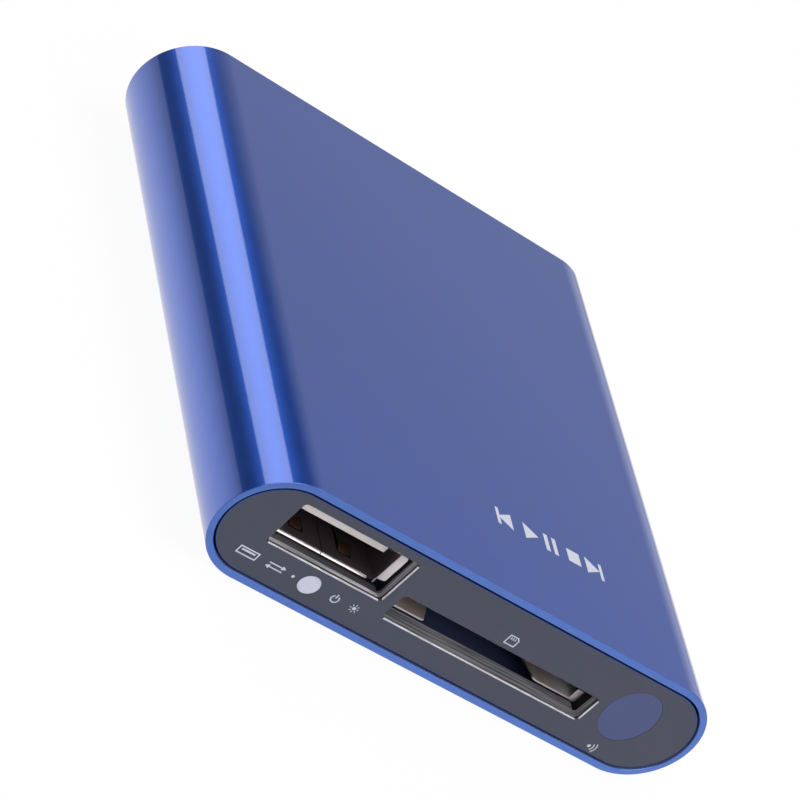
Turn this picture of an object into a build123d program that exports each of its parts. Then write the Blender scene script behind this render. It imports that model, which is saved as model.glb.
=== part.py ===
from build123d import *
import os
from math import asin, atan2, cos, degrees, hypot, pi, sin

os.makedirs("parts", exist_ok=True)

# A pocket-size media player: a flat aluminium sleeve with round sides, closed by a panel at each end.
# X runs across the front, the front faces -Y, Z is up, and Z = 0 is the flat face that it rests on.
# The origin is the middle of the footprint. Dimensions are in millimetres.

# Body
BODY_WIDTH = 60.0
BODY_HEIGHT = 12.9
BODY_DEPTH = 63.4
FRONT = -BODY_DEPTH / 2
BACK = BODY_DEPTH / 2
MID_Z = BODY_HEIGHT / 2
ARC_X = BODY_WIDTH / 2 - MID_Z
WALL = 1.4
MOUTH_FLAT_WALL = 0.8
MOUTH_SIDE_WALL = 0.68
MOUTH_WIDTH = BODY_WIDTH - 2 * MOUTH_SIDE_WALL
MOUTH_HEIGHT = BODY_HEIGHT - 2 * MOUTH_FLAT_WALL
EDGE_CHAMFER = 0.1

# End panels
PANEL_THICK = 2.2
PANEL_RECESS = 0.1
PANEL_GAP = 0.22
PANEL_EDGE_CHAMFER = 0.1
PANEL_FRONT = FRONT + PANEL_RECESS
PANEL_REAR = PANEL_FRONT + PANEL_THICK
TAPE_THICK = 0.15
REAR_PANEL_IN = BACK - PANEL_RECESS - PANEL_THICK
REAR_PANEL_OUT = BACK - PANEL_RECESS

# Circuit board
BOARD_BOTTOM = 7.1
BOARD_THICK = 1.2
BOARD_TOP = BOARD_BOTTOM + BOARD_THICK
BOARD_HALF_WIDTH = 27.9
BOARD_FRONT = FRONT + 3.0
BOARD_BACK = 28.6

# Board rails and screw channels inside the sleeve
RAIL_IN = 27.0
RAIL_OUT = 28.9
RAIL_HEIGHT = 0.7
RAIL_PLAY = 0.05
CHANNEL_X = 24.8
CHANNEL_Z = 3.6
CHANNEL_RADIUS = 1.75
CHANNEL_BORE = 0.8
CHANNEL_MOUTH = 0.8
CHANNEL_MOUTH_REACH = 2.0
WEB_REACH = 1.7
WEB_LENGTH = 1.5
WEB_THICK = 1.6

# Port at the left of the front: standard 12.5 x 5.12 opening and 11.1 x 1.84 tongue
PORT_X = -16.75
PORT_Z = 8.08
PORT_OPEN_WIDTH = 12.5
PORT_OPEN_HEIGHT = 5.12
PORT_SHEET = 0.3
PORT_BACK = -17.4
TONGUE_WIDTH = 11.1
TONGUE_BOTTOM = 8.1
TONGUE_TOP = 9.94

# Card slot and socket, for a card 24 wide and 2.1 thick
SLOT_X = 4.5
CARD_BAY_WIDTH = 24.2
CARD_FLOOR = 3.95
CARD_SHEET = 0.2
SOCKET_FRONT = BOARD_FRONT
SOCKET_BACK = 0.4
SOCKET_LEFT = -9.9
SOCKET_RIGHT = 18.4
SOCKET_WALL = 0.35
SOCKET_ROOF = 6.25
SPRING_BAY_LEFT = -12.5
SPRING_BAY_FRONT = -16.7
SOCKET_BACK_WALL = 1.0

# Card carriage, its spring and its cam pin
CARRIAGE_TRAVEL = 5.0
CARRIAGE_BOTTOM = 4.48
CARRIAGE_TOP = 6.15
CARRIAGE_LEFT = -9.45
CARRIAGE_RIGHT = -7.75
CARRIAGE_FRONT = -19.4
CARRIAGE_BACK = -7.0
PIN_X = -8.6
PIN_PIVOT_Y = -26.8
PIN_REACH = 13.0
PIN_SWEEP = 0.35
PIN_WIRE = 0.2
PIN_Z = 4.2
SPRING_X = -11.1
SPRING_Z = 5.3
SPRING_RADIUS = 0.6
SPRING_WIRE = 0.12
SPRING_TURNS = 12
WING_FRONT = -16.2
WING_BACK = -14.7

# Power light and infrared window
LIGHT_X = PORT_X
LIGHT_Z = 3.22
LIGHT_RADIUS = 1.135
LIGHT_BEND_Y = -15.3
WINDOW_X = 21.38
WINDOW_Z = 7.02
WINDOW_RADIUS_X = 2.95
WINDOW_RADIUS_Z = 3.45

# Rear sockets
VIDEO_X = -1.0
VIDEO_HALF_WIDTH = 7.3
VIDEO_BOTTOM = 1.65
VIDEO_TOP = 6.8
VIDEO_SHOULDER = 4.9
VIDEO_SLANT = 1.6
VIDEO_IN = 18.0
AV_X = -15.0
AV_Z = 4.55
AV_BORE = 1.8
AV_IN = 17.5
DC_X = 14.5
DC_Z = 4.45
DC_BORE = 1.95
DC_IN = 18.5


def upright(y):
    """A plane that faces the front, at the given depth, with X across and Z up."""
    return Plane.XZ.offset(-y)


def block(x0, x1, y0, y1, z0, z1, mode=Mode.ADD):
    """A rectangular block between two opposite corners."""
    with Locations(((x0 + x1) / 2, (y0 + y1) / 2, (z0 + z1) / 2)):
        Box(x1 - x0, y1 - y0, z1 - z0, mode=mode)


def rod(x, z, radius, y0, y1, mode=Mode.ADD):
    """A round bar that runs from front to back."""
    with Locations((x, (y0 + y1) / 2, z)):
        Cylinder(radius, y1 - y0, rotation=(90, 0, 0), mode=mode)


def taper(x, z, radius0, radius1, y0, y1, mode=Mode.ADD):
    """A cone that runs from front to back."""
    with Locations((x, (y0 + y1) / 2, z)):
        Cone(radius0, radius1, y1 - y0, rotation=(-90, 0, 0), mode=mode)


def save(piece, name):
    """Labels a finished piece and writes its file."""
    piece.part.label = name
    export_step(piece.part, f"parts/{name}.step")


# Housing sleeve: an extruded tube with board rails and two open screw channels, cut back at both mouths
web_angle = degrees(atan2(CHANNEL_Z - MID_Z, CHANNEL_X - ARC_X))
web_run = (CHANNEL_X - ARC_X) / hypot(CHANNEL_X - ARC_X, CHANNEL_Z - MID_Z)
web_rise = (CHANNEL_Z - MID_Z) / hypot(CHANNEL_X - ARC_X, CHANNEL_Z - MID_Z)
web_x = WEB_REACH * web_run
web_z = WEB_REACH * web_rise
mouth_x = CHANNEL_MOUTH_REACH / 2 * web_run
mouth_z = CHANNEL_MOUTH_REACH / 2 * web_rise
FRONT_SHOULDER = PANEL_REAR + TAPE_THICK

with BuildPart() as housing_sleeve:
    with BuildSketch(upright(FRONT)):
        with Locations((0, MID_Z)):
            SlotOverall(BODY_WIDTH, BODY_HEIGHT)
    extrude(amount=-BODY_DEPTH)
    mouth_edges = housing_sleeve.edges().filter_by_position(Axis.Y, FRONT, FRONT)
    mouth_edges += housing_sleeve.edges().filter_by_position(Axis.Y, BACK, BACK)
    chamfer(mouth_edges, EDGE_CHAMFER)
    with BuildSketch(upright(FRONT)):
        with Locations((0, MID_Z)):
            SlotOverall(BODY_WIDTH - 2 * WALL, BODY_HEIGHT - 2 * WALL)
    extrude(amount=-BODY_DEPTH, mode=Mode.SUBTRACT)
    with BuildSketch(upright(FRONT_SHOULDER)):
        for side in (-1, 1):
            with Locations((side * (RAIL_IN + RAIL_OUT) / 2, BOARD_BOTTOM - RAIL_PLAY - RAIL_HEIGHT / 2)):
                Rectangle(RAIL_OUT - RAIL_IN, RAIL_HEIGHT)
            with Locations((side * (RAIL_IN + RAIL_OUT) / 2, BOARD_TOP + RAIL_PLAY + RAIL_HEIGHT / 2)):
                Rectangle(RAIL_OUT - RAIL_IN, RAIL_HEIGHT)
            with Locations((side * CHANNEL_X, CHANNEL_Z)):
                Circle(CHANNEL_RADIUS)
            with Locations((side * (CHANNEL_X + web_x), CHANNEL_Z + web_z)):
                Rectangle(WEB_LENGTH, WEB_THICK, rotation=side * web_angle)
            with Locations((side * CHANNEL_X, CHANNEL_Z)):
                Circle(CHANNEL_BORE, mode=Mode.SUBTRACT)
            with Locations((side * (CHANNEL_X - mouth_x), CHANNEL_Z - mouth_z)):
                Rectangle(CHANNEL_MOUTH_REACH, CHANNEL_MOUTH, rotation=side * web_angle, mode=Mode.SUBTRACT)
    extrude(amount=-(REAR_PANEL_IN - FRONT_SHOULDER))
    for mouth, depth in ((FRONT, FRONT_SHOULDER - FRONT), (REAR_PANEL_IN, BACK - REAR_PANEL_IN)):
        with BuildSketch(upright(mouth)):
            with Locations((0, MID_Z)):
                SlotOverall(MOUTH_WIDTH, MOUTH_HEIGHT)
        extrude(amount=-depth, mode=Mode.SUBTRACT)
save(housing_sleeve, "housing_sleeve")

# Front panel: a plate with a bevelled port opening and card slot, a light hole and an oval window hole
PANEL_WIDTH = MOUTH_WIDTH - 2 * PANEL_GAP
PANEL_HEIGHT = MOUTH_HEIGHT - 2 * PANEL_GAP
PORT_HOLE = (13.85, 5.43)
PORT_HOLE_AT = (-16.84, 8.015)
SLOT_HOLE = (25.5, 3.2)
SLOT_HOLE_AT = (4.49, 5.44)
HOLE_CORNER = 0.25
HOLE_BEVEL = 0.15
LIGHT_PLAY = 0.015

with BuildPart() as front_panel:
    with BuildSketch(upright(PANEL_FRONT)):
        with Locations((0, MID_Z)):
            SlotOverall(PANEL_WIDTH, PANEL_HEIGHT)
    extrude(amount=-PANEL_THICK)
    chamfer(front_panel.edges().filter_by_position(Axis.Y, PANEL_FRONT, PANEL_FRONT), PANEL_EDGE_CHAMFER)
    for hole, place in ((PORT_HOLE, PORT_HOLE_AT), (SLOT_HOLE, SLOT_HOLE_AT)):
        with BuildSketch(upright(PANEL_FRONT)):
            with Locations(place):
                RectangleRounded(hole[0], hole[1], HOLE_CORNER)
        extrude(amount=-PANEL_THICK, mode=Mode.SUBTRACT)
        rim = front_panel.edges().filter_by_position(Axis.Y, PANEL_FRONT, PANEL_FRONT)
        rim = rim.filter_by(lambda edge: abs(edge.center().X - place[0]) < hole[0] / 2 + HOLE_BEVEL
                            and abs(edge.center().Z - place[1]) < hole[1] / 2 + HOLE_BEVEL)
        chamfer(rim, HOLE_BEVEL)
    with BuildSketch(upright(PANEL_FRONT)):
        with Locations((LIGHT_X, LIGHT_Z)):
            Circle(LIGHT_RADIUS + LIGHT_PLAY)
        with Locations((WINDOW_X, WINDOW_Z)):
            Ellipse(WINDOW_RADIUS_X, WINDOW_RADIUS_Z)
    extrude(amount=-PANEL_THICK, mode=Mode.SUBTRACT)
save(front_panel, "front_panel")

# Panel tape: a thin adhesive ring between the front panel and the sleeve's shoulder
TAPE_OUTER_INSET = 1.15
TAPE_INNER_INSET = 1.7

with BuildPart() as panel_tape:
    with BuildSketch(upright(PANEL_REAR)):
        with Locations((0, MID_Z)):
            SlotOverall(BODY_WIDTH - 2 * TAPE_OUTER_INSET, BODY_HEIGHT - 2 * TAPE_OUTER_INSET)
            SlotOverall(BODY_WIDTH - 2 * TAPE_INNER_INSET, BODY_HEIGHT - 2 * TAPE_INNER_INSET,
                        mode=Mode.SUBTRACT)
    extrude(amount=-TAPE_THICK)
save(panel_tape, "panel_tape")

# Infrared window: an oval plug of dark violet plastic, flush with the panel
WINDOW_PLAY = 0.02

with BuildPart() as infrared_window:
    with BuildSketch(upright(PANEL_FRONT)):
        with Locations((WINDOW_X, WINDOW_Z)):
            Ellipse(WINDOW_RADIUS_X - WINDOW_PLAY, WINDOW_RADIUS_Z - WINDOW_PLAY)
    extrude(amount=-PANEL_THICK)
save(infrared_window, "infrared_window")

# Light pipe: a clear bar from the panel to the light on the board, turned up by a slanted end face
COLLAR_RADIUS = 1.45
COLLAR_THICK = 0.6
MIRROR_BLOCK = 4.0
PIPE_TOP = 6.1

with BuildPart() as light_pipe:
    rod(LIGHT_X, LIGHT_Z, LIGHT_RADIUS, PANEL_FRONT, LIGHT_BEND_Y + LIGHT_RADIUS)
    rod(LIGHT_X, LIGHT_Z, COLLAR_RADIUS, PANEL_REAR, PANEL_REAR + COLLAR_THICK)
    with Locations((LIGHT_X, LIGHT_BEND_Y, (LIGHT_Z + PIPE_TOP) / 2)):
        Cylinder(LIGHT_RADIUS, PIPE_TOP - LIGHT_Z)
    slant = MIRROR_BLOCK / 2 * cos(pi / 4)
    with Locations((LIGHT_X, LIGHT_BEND_Y + slant, LIGHT_Z - slant)):
        Box(MIRROR_BLOCK, MIRROR_BLOCK, MIRROR_BLOCK, rotation=(45, 0, 0), mode=Mode.SUBTRACT)
save(light_pipe, "light_pipe")

# Power light: a small light under the board, above the light pipe's end
LAMP_HALF_WIDTH = 0.8
LAMP_HALF_LENGTH = 1.5
LAMP_BASE = 6.7
LAMP_LENS_RADIUS = 0.7
LAMP_LENS_HEIGHT = 0.4

with BuildPart() as power_light:
    block(LIGHT_X - LAMP_HALF_WIDTH, LIGHT_X + LAMP_HALF_WIDTH,
          LIGHT_BEND_Y - LAMP_HALF_LENGTH, LIGHT_BEND_Y + LAMP_HALF_LENGTH, LAMP_BASE, BOARD_BOTTOM)
    with Locations((LIGHT_X, LIGHT_BEND_Y, LAMP_BASE - LAMP_LENS_HEIGHT / 2)):
        Cylinder(LAMP_LENS_RADIUS, LAMP_LENS_HEIGHT)
save(power_light, "power_light")

# Rear panel: a plate with openings for the three rear sockets and two countersunk screw holes
VIDEO_HOLE_MARGIN = 0.2
SLANT_SHIFT = 0.4
AV_HOLE = 2.7
DC_HOLE = 2.8
SCREW_HOLE = 0.95
HEAD_RADIUS = 1.75
HEAD_DEPTH = 0.9
HEAD_PLAY = 0.05


def video_outline(inset):
    """The video socket's section: straight sides below and slanted corners above."""
    half = VIDEO_HALF_WIDTH - inset
    top = VIDEO_TOP - inset
    return [
        (VIDEO_X - half, VIDEO_BOTTOM + inset),
        (VIDEO_X + half, VIDEO_BOTTOM + inset),
        (VIDEO_X + half, VIDEO_SHOULDER - SLANT_SHIFT * inset),
        (VIDEO_X + half - VIDEO_SLANT, top),
        (VIDEO_X - half + VIDEO_SLANT, top),
        (VIDEO_X - half, VIDEO_SHOULDER - SLANT_SHIFT * inset),
    ]


with BuildPart() as rear_panel:
    with BuildSketch(upright(REAR_PANEL_IN)):
        with Locations((0, MID_Z)):
            SlotOverall(PANEL_WIDTH, PANEL_HEIGHT)
    extrude(amount=-PANEL_THICK)
    chamfer(rear_panel.edges().filter_by_position(Axis.Y, REAR_PANEL_OUT, REAR_PANEL_OUT), PANEL_EDGE_CHAMFER)
    with BuildSketch(upright(REAR_PANEL_IN)):
        with BuildLine():
            Polyline(video_outline(-VIDEO_HOLE_MARGIN), close=True)
        make_face()
        with Locations((AV_X, AV_Z)):
            Circle(AV_HOLE)
        with Locations((DC_X, DC_Z)):
            Circle(DC_HOLE)
    extrude(amount=-PANEL_THICK, mode=Mode.SUBTRACT)
    for side in (-1, 1):
        rod(side * CHANNEL_X, CHANNEL_Z, SCREW_HOLE, REAR_PANEL_IN, REAR_PANEL_OUT, mode=Mode.SUBTRACT)
        taper(side * CHANNEL_X, CHANNEL_Z, SCREW_HOLE, HEAD_RADIUS + HEAD_PLAY,
              REAR_PANEL_OUT - HEAD_DEPTH, REAR_PANEL_OUT, mode=Mode.SUBTRACT)
save(rear_panel, "rear_panel")

# Rear screws: two countersunk self-tapping screws with a cross recess
SHANK_RADIUS = 0.75
NECK_RADIUS = 0.9
NECK_LIFT = 0.02
SCREW_TIP = 23.0
CROSS_LENGTH = 1.7
CROSS_WIDTH = 0.32
CROSS_DEPTH = 0.5

with BuildPart() as rear_screws:
    for side in (-1, 1):
        taper(side * CHANNEL_X, CHANNEL_Z, NECK_RADIUS, HEAD_RADIUS,
              REAR_PANEL_OUT - HEAD_DEPTH + NECK_LIFT, REAR_PANEL_OUT)
        rod(side * CHANNEL_X, CHANNEL_Z, SHANK_RADIUS, SCREW_TIP, REAR_PANEL_OUT - HEAD_DEPTH + 2 * NECK_LIFT)
        for turn in (0, 90):
            with Locations((side * CHANNEL_X, REAR_PANEL_OUT, CHANNEL_Z)):
                Box(CROSS_LENGTH, 2 * CROSS_DEPTH, CROSS_WIDTH, rotation=(0, turn, 0), mode=Mode.SUBTRACT)
save(rear_screws, "rear_screws")

# Main board: fills the sleeve between its rails, with notches for the front port and the infrared receiver
PORT_NOTCH_BACK = PORT_BACK + 0.3
PORT_NOTCH_HALF = 6.85
RECEIVER_NOTCH_BACK = -24.6
RECEIVER_NOTCH_HALF = 2.5

with BuildPart() as main_board:
    block(-BOARD_HALF_WIDTH, BOARD_HALF_WIDTH, BOARD_FRONT, BOARD_BACK, BOARD_BOTTOM, BOARD_TOP)
    block(PORT_X - PORT_NOTCH_HALF, PORT_X + PORT_NOTCH_HALF, BOARD_FRONT, PORT_NOTCH_BACK,
          BOARD_BOTTOM, BOARD_TOP, mode=Mode.SUBTRACT)
    block(WINDOW_X - RECEIVER_NOTCH_HALF, WINDOW_X + RECEIVER_NOTCH_HALF, BOARD_FRONT, RECEIVER_NOTCH_BACK,
          BOARD_BOTTOM, BOARD_TOP, mode=Mode.SUBTRACT)
save(main_board, "main_board")

# Port shell: folded sheet with a seam in its floor and two pairs of spring tongues. The lips above and below
# turn out behind the panel, and the side lips flare forward into the panel's opening.
PORT_LEFT = PORT_X - PORT_OPEN_WIDTH / 2
PORT_RIGHT = PORT_X + PORT_OPEN_WIDTH / 2
PORT_FLOOR = PORT_Z - PORT_OPEN_HEIGHT / 2
PORT_ROOF = PORT_Z + PORT_OPEN_HEIGHT / 2
PORT_MOUTH = FRONT + 2.62
FLAT_LIP_REACH = 0.27
FLAT_LIP_DROP = 0.4
FLAT_LIP_THICK = 0.18
SIDE_LIP_BEND = PORT_MOUTH - 0.2
SIDE_LIP_REACH = 0.75
SIDE_LIP_SPREAD = 0.4
SIDE_LIP_TIP = 0.1
LIP_CORNER_GAP = 0.55
SEAM = 0.1
SPRING_OFFSETS = (-3.0, 3.0)
SPRING_HALF_WIDTH = 0.7
SPRING_SLOT_HALF_WIDTH = 0.9
SPRING_SLOT = (-28.0, -23.6)
SPRING_ROOT = -23.5
SPRING_BEND = -26.6
SPRING_TIP = -27.7
SPRING_LEAN = 0.35
SPRING_SHEET = 0.2
WING_IN = 0.1
WING_OUT = 1.6
WING_ENDS = (-24.0, -20.0)

with BuildPart() as port_shell:
    block(PORT_LEFT - PORT_SHEET, PORT_RIGHT + PORT_SHEET, PORT_MOUTH, PORT_BACK,
          PORT_FLOOR - PORT_SHEET, PORT_ROOF + PORT_SHEET)
    block(PORT_LEFT, PORT_RIGHT, PORT_MOUTH, PORT_BACK - PORT_SHEET, PORT_FLOOR, PORT_ROOF,
          mode=Mode.SUBTRACT)
    for up, wall in ((-1, PORT_FLOOR), (1, PORT_ROOF)):
        with BuildSketch(Plane.YZ.offset(PORT_LEFT + LIP_CORNER_GAP)):
            with BuildLine():
                Polyline([
                    (PORT_MOUTH, wall),
                    (PORT_MOUTH - FLAT_LIP_REACH, wall + up * FLAT_LIP_DROP),
                    (PORT_MOUTH - FLAT_LIP_REACH + FLAT_LIP_THICK,
                     wall + up * (FLAT_LIP_DROP + FLAT_LIP_THICK)),
                    (PORT_MOUTH + FLAT_LIP_THICK, wall + up * PORT_SHEET),
                ], close=True)
            make_face()
        extrude(amount=PORT_OPEN_WIDTH - 2 * LIP_CORNER_GAP)
        for offset in SPRING_OFFSETS:
            hole_low, hole_high = sorted((wall, wall + up * PORT_SHEET))
            block(PORT_X + offset - SPRING_SLOT_HALF_WIDTH, PORT_X + offset + SPRING_SLOT_HALF_WIDTH,
                  SPRING_SLOT[0], SPRING_SLOT[1], hole_low, hole_high, mode=Mode.SUBTRACT)
            with BuildSketch(Plane.YZ.offset(PORT_X + offset - SPRING_HALF_WIDTH)):
                with BuildLine():
                    Polyline([
                        (SPRING_ROOT, wall + up * SPRING_SHEET),
                        (SPRING_ROOT, wall),
                        (SPRING_BEND, wall - up * SPRING_LEAN),
                        (SPRING_TIP, wall - up * SPRING_SHEET / 2),
                        (SPRING_TIP, wall + up * SPRING_SHEET / 2),
                        (SPRING_BEND, wall + up * (SPRING_SHEET - SPRING_LEAN)),
                    ], close=True)
                make_face()
            extrude(amount=2 * SPRING_HALF_WIDTH)
    for side, wall in ((-1, PORT_LEFT), (1, PORT_RIGHT)):
        with BuildSketch(Plane.XY.offset(PORT_FLOOR + LIP_CORNER_GAP)):
            with BuildLine():
                Polyline([
                    (wall, PORT_MOUTH + PORT_SHEET),
                    (wall, SIDE_LIP_BEND),
                    (wall + side * SIDE_LIP_SPREAD, SIDE_LIP_BEND - SIDE_LIP_REACH),
                    (wall + side * (SIDE_LIP_SPREAD + SIDE_LIP_TIP), SIDE_LIP_BEND - SIDE_LIP_REACH),
                    (wall + side * PORT_SHEET, SIDE_LIP_BEND),
                    (wall + side * PORT_SHEET, PORT_MOUTH + PORT_SHEET),
                ], close=True)
            make_face()
        extrude(amount=PORT_OPEN_HEIGHT - 2 * LIP_CORNER_GAP)
        wing_near, wing_far = sorted((wall + side * WING_IN, wall + side * WING_OUT))
        block(wing_near, wing_far, WING_ENDS[0], WING_ENDS[1], BOARD_TOP, BOARD_TOP + PORT_SHEET)
    block(PORT_X - SEAM / 2, PORT_X + SEAM / 2, PORT_MOUTH - 1, PORT_BACK - PORT_SHEET,
          PORT_FLOOR - 1, PORT_FLOOR, mode=Mode.SUBTRACT)
save(port_shell, "port_shell")

# Port tongue: the insulator block at the back of the shell and the flat tongue that carries the contacts
TONGUE_FRONT = FRONT + 3.2
TONGUE_ROOT = -20.6
TONGUE_PLAY = 0.05
CONTACT_OFFSETS = (-3.5, -1.0, 1.0, 3.5)
CONTACT_THICK = 0.2
CONTACT_HALF_WIDTH = 0.5
CONTACT_SETBACK = 0.8

with BuildPart() as port_tongue:
    block(PORT_LEFT + TONGUE_PLAY, PORT_RIGHT - TONGUE_PLAY, TONGUE_ROOT, PORT_BACK - PORT_SHEET,
          PORT_FLOOR + TONGUE_PLAY, PORT_ROOF - TONGUE_PLAY)
    block(PORT_X - TONGUE_WIDTH / 2, PORT_X + TONGUE_WIDTH / 2, TONGUE_FRONT, TONGUE_ROOT,
          TONGUE_BOTTOM, TONGUE_TOP)
    for offset in CONTACT_OFFSETS:
        block(PORT_X + offset - CONTACT_HALF_WIDTH, PORT_X + offset + CONTACT_HALF_WIDTH, TONGUE_ROOT,
              PORT_BACK - PORT_SHEET, TONGUE_BOTTOM - CONTACT_THICK, TONGUE_BOTTOM, mode=Mode.SUBTRACT)
save(port_tongue, "port_tongue")

# Port contacts: four gilded strips under the tongue
with BuildPart() as port_contacts:
    for offset in CONTACT_OFFSETS:
        block(PORT_X + offset - CONTACT_HALF_WIDTH, PORT_X + offset + CONTACT_HALF_WIDTH,
              TONGUE_FRONT + CONTACT_SETBACK, PORT_BACK - PORT_SHEET,
              TONGUE_BOTTOM - CONTACT_THICK, TONGUE_BOTTOM)
save(port_contacts, "port_contacts")

# Card socket base: a black frame under the board, with a wider bay at its left for the eject spring. Its
# right wall starts further back, so the cover's folded side shows at the mouth.
BAY_LEFT = SLOT_X - CARD_BAY_WIDTH / 2
BAY_RIGHT = SLOT_X + CARD_BAY_WIDTH / 2
CARD_CONTACTS = 9
CARD_CONTACT_PITCH = 2.3
CARD_CONTACT_FIRST = -3.6
CARD_CONTACT_WIDTH = 0.8
PIVOT_PLAY = 0.04
PIVOT_HOLE_MIDDLE = 5.0
PIVOT_HOLE_DEPTH = 1.4
PIVOT_FRONT = PIN_PIVOT_Y - 0.6
PIVOT_BACK = PIN_PIVOT_Y + 1.0
SPRING_BAY_WALL = 0.4
RIGHT_WALL_SETBACK = 2.6

with BuildPart() as card_socket_base:
    block(SOCKET_LEFT, SOCKET_RIGHT, SOCKET_FRONT, SOCKET_BACK, CARD_FLOOR, BOARD_BOTTOM)
    block(SPRING_BAY_LEFT, SOCKET_LEFT, SPRING_BAY_FRONT, SOCKET_BACK, CARD_FLOOR, BOARD_BOTTOM)
    block(BAY_LEFT, BAY_RIGHT, SOCKET_FRONT, SOCKET_BACK - SOCKET_BACK_WALL,
          CARD_FLOOR, SOCKET_ROOF, mode=Mode.SUBTRACT)
    block(BAY_RIGHT, SOCKET_RIGHT, SOCKET_FRONT, SOCKET_FRONT + RIGHT_WALL_SETBACK,
          CARD_FLOOR, SOCKET_ROOF, mode=Mode.SUBTRACT)
    block(SOCKET_LEFT + SOCKET_WALL, BAY_LEFT, PIVOT_BACK, SOCKET_BACK - SOCKET_BACK_WALL,
          CARD_FLOOR, SOCKET_ROOF, mode=Mode.SUBTRACT)
    block(SPRING_BAY_LEFT + SOCKET_WALL, SOCKET_LEFT + SOCKET_WALL, SPRING_BAY_FRONT + SPRING_BAY_WALL,
          SOCKET_BACK - SOCKET_BACK_WALL, CARD_FLOOR, SOCKET_ROOF, mode=Mode.SUBTRACT)
    block(SOCKET_LEFT + SOCKET_WALL, BAY_LEFT, PIVOT_FRONT, PIVOT_BACK, CARD_FLOOR, CARRIAGE_BOTTOM,
          mode=Mode.SUBTRACT)
    with Locations((PIN_X, PIN_PIVOT_Y, PIVOT_HOLE_MIDDLE)):
        Cylinder(PIN_WIRE + PIVOT_PLAY, PIVOT_HOLE_DEPTH, mode=Mode.SUBTRACT)
    for index in range(CARD_CONTACTS):
        contact_x = CARD_CONTACT_FIRST + index * CARD_CONTACT_PITCH
        block(contact_x - CARD_CONTACT_WIDTH / 2, contact_x + CARD_CONTACT_WIDTH / 2,
              SOCKET_BACK - SOCKET_BACK_WALL, SOCKET_BACK,
              SOCKET_ROOF - CARD_SHEET, SOCKET_ROOF, mode=Mode.SUBTRACT)
save(card_socket_base, "card_socket_base")

# Card socket cover: sheet metal below the base, with folded sides and a tapered finger notch at its front
NOTCH_X = 4.85
NOTCH_MOUTH_HALF = 7.25
NOTCH_END_HALF = 4.2
NOTCH_DEPTH = 7.0
NOTCH_OVERRUN = 1.0
NOTCH_SPREAD = NOTCH_OVERRUN * (NOTCH_MOUTH_HALF - NOTCH_END_HALF) / NOTCH_DEPTH
COVER_BOTTOM = CARD_FLOOR - CARD_SHEET
COVER_SIDE_TOP = 6.9

with BuildPart() as card_socket_cover:
    block(SOCKET_LEFT - CARD_SHEET, SOCKET_RIGHT + CARD_SHEET, SOCKET_FRONT, SOCKET_BACK,
          COVER_BOTTOM, CARD_FLOOR)
    block(SPRING_BAY_LEFT - CARD_SHEET, SOCKET_LEFT, SPRING_BAY_FRONT, SOCKET_BACK, COVER_BOTTOM, CARD_FLOOR)
    with BuildSketch(Plane.XY.offset(COVER_BOTTOM)):
        with BuildLine():
            Polyline([
                (NOTCH_X - NOTCH_MOUTH_HALF - NOTCH_SPREAD, SOCKET_FRONT - NOTCH_OVERRUN),
                (NOTCH_X + NOTCH_MOUTH_HALF + NOTCH_SPREAD, SOCKET_FRONT - NOTCH_OVERRUN),
                (NOTCH_X + NOTCH_END_HALF, SOCKET_FRONT + NOTCH_DEPTH),
                (NOTCH_X - NOTCH_END_HALF, SOCKET_FRONT + NOTCH_DEPTH),
            ], close=True)
        make_face()
    extrude(amount=CARD_SHEET, mode=Mode.SUBTRACT)
    block(SOCKET_LEFT - CARD_SHEET, SOCKET_LEFT, SOCKET_FRONT, SPRING_BAY_FRONT, COVER_BOTTOM, COVER_SIDE_TOP)
    block(SPRING_BAY_LEFT - CARD_SHEET, SPRING_BAY_LEFT, SPRING_BAY_FRONT, SOCKET_BACK,
          COVER_BOTTOM, COVER_SIDE_TOP)
    block(SOCKET_RIGHT, SOCKET_RIGHT + CARD_SHEET, SOCKET_FRONT, SOCKET_BACK, COVER_BOTTOM, COVER_SIDE_TOP)
save(card_socket_cover, "card_socket_cover")

# Card contacts: nine sprung strips under the roof of the card bay, with tails that rise to the board
TAIL_BACK = SOCKET_BACK + CARD_SHEET
TAIL_FOOT = 0.6
CONTACT_BEND_Y = -5.0
CONTACT_LOW_Y = -9.0
CONTACT_TIP_Y = -10.2
CONTACT_DROP = 0.35
TIP_DROP = 0.2

with BuildPart() as card_contacts:
    for index in range(CARD_CONTACTS):
        contact_x = CARD_CONTACT_FIRST + index * CARD_CONTACT_PITCH
        with BuildSketch(Plane.YZ.offset(contact_x - CARD_CONTACT_WIDTH / 2)):
            with BuildLine():
                Polyline([
                    (TAIL_BACK + TAIL_FOOT, BOARD_BOTTOM),
                    (SOCKET_BACK, BOARD_BOTTOM),
                    (SOCKET_BACK, SOCKET_ROOF),
                    (CONTACT_BEND_Y, SOCKET_ROOF),
                    (CONTACT_LOW_Y, SOCKET_ROOF - CONTACT_DROP),
                    (CONTACT_TIP_Y, SOCKET_ROOF - TIP_DROP),
                    (CONTACT_TIP_Y, SOCKET_ROOF - TIP_DROP - CARD_SHEET),
                    (CONTACT_LOW_Y, SOCKET_ROOF - CONTACT_DROP - CARD_SHEET),
                    (CONTACT_BEND_Y, SOCKET_ROOF - CARD_SHEET),
                    (TAIL_BACK, SOCKET_ROOF - CARD_SHEET),
                    (TAIL_BACK, BOARD_BOTTOM - CARD_SHEET),
                    (TAIL_BACK + TAIL_FOOT, BOARD_BOTTOM - CARD_SHEET),
                ], close=True)
            make_face()
        extrude(amount=CARD_CONTACT_WIDTH)
save(card_contacts, "card_contacts")

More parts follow.
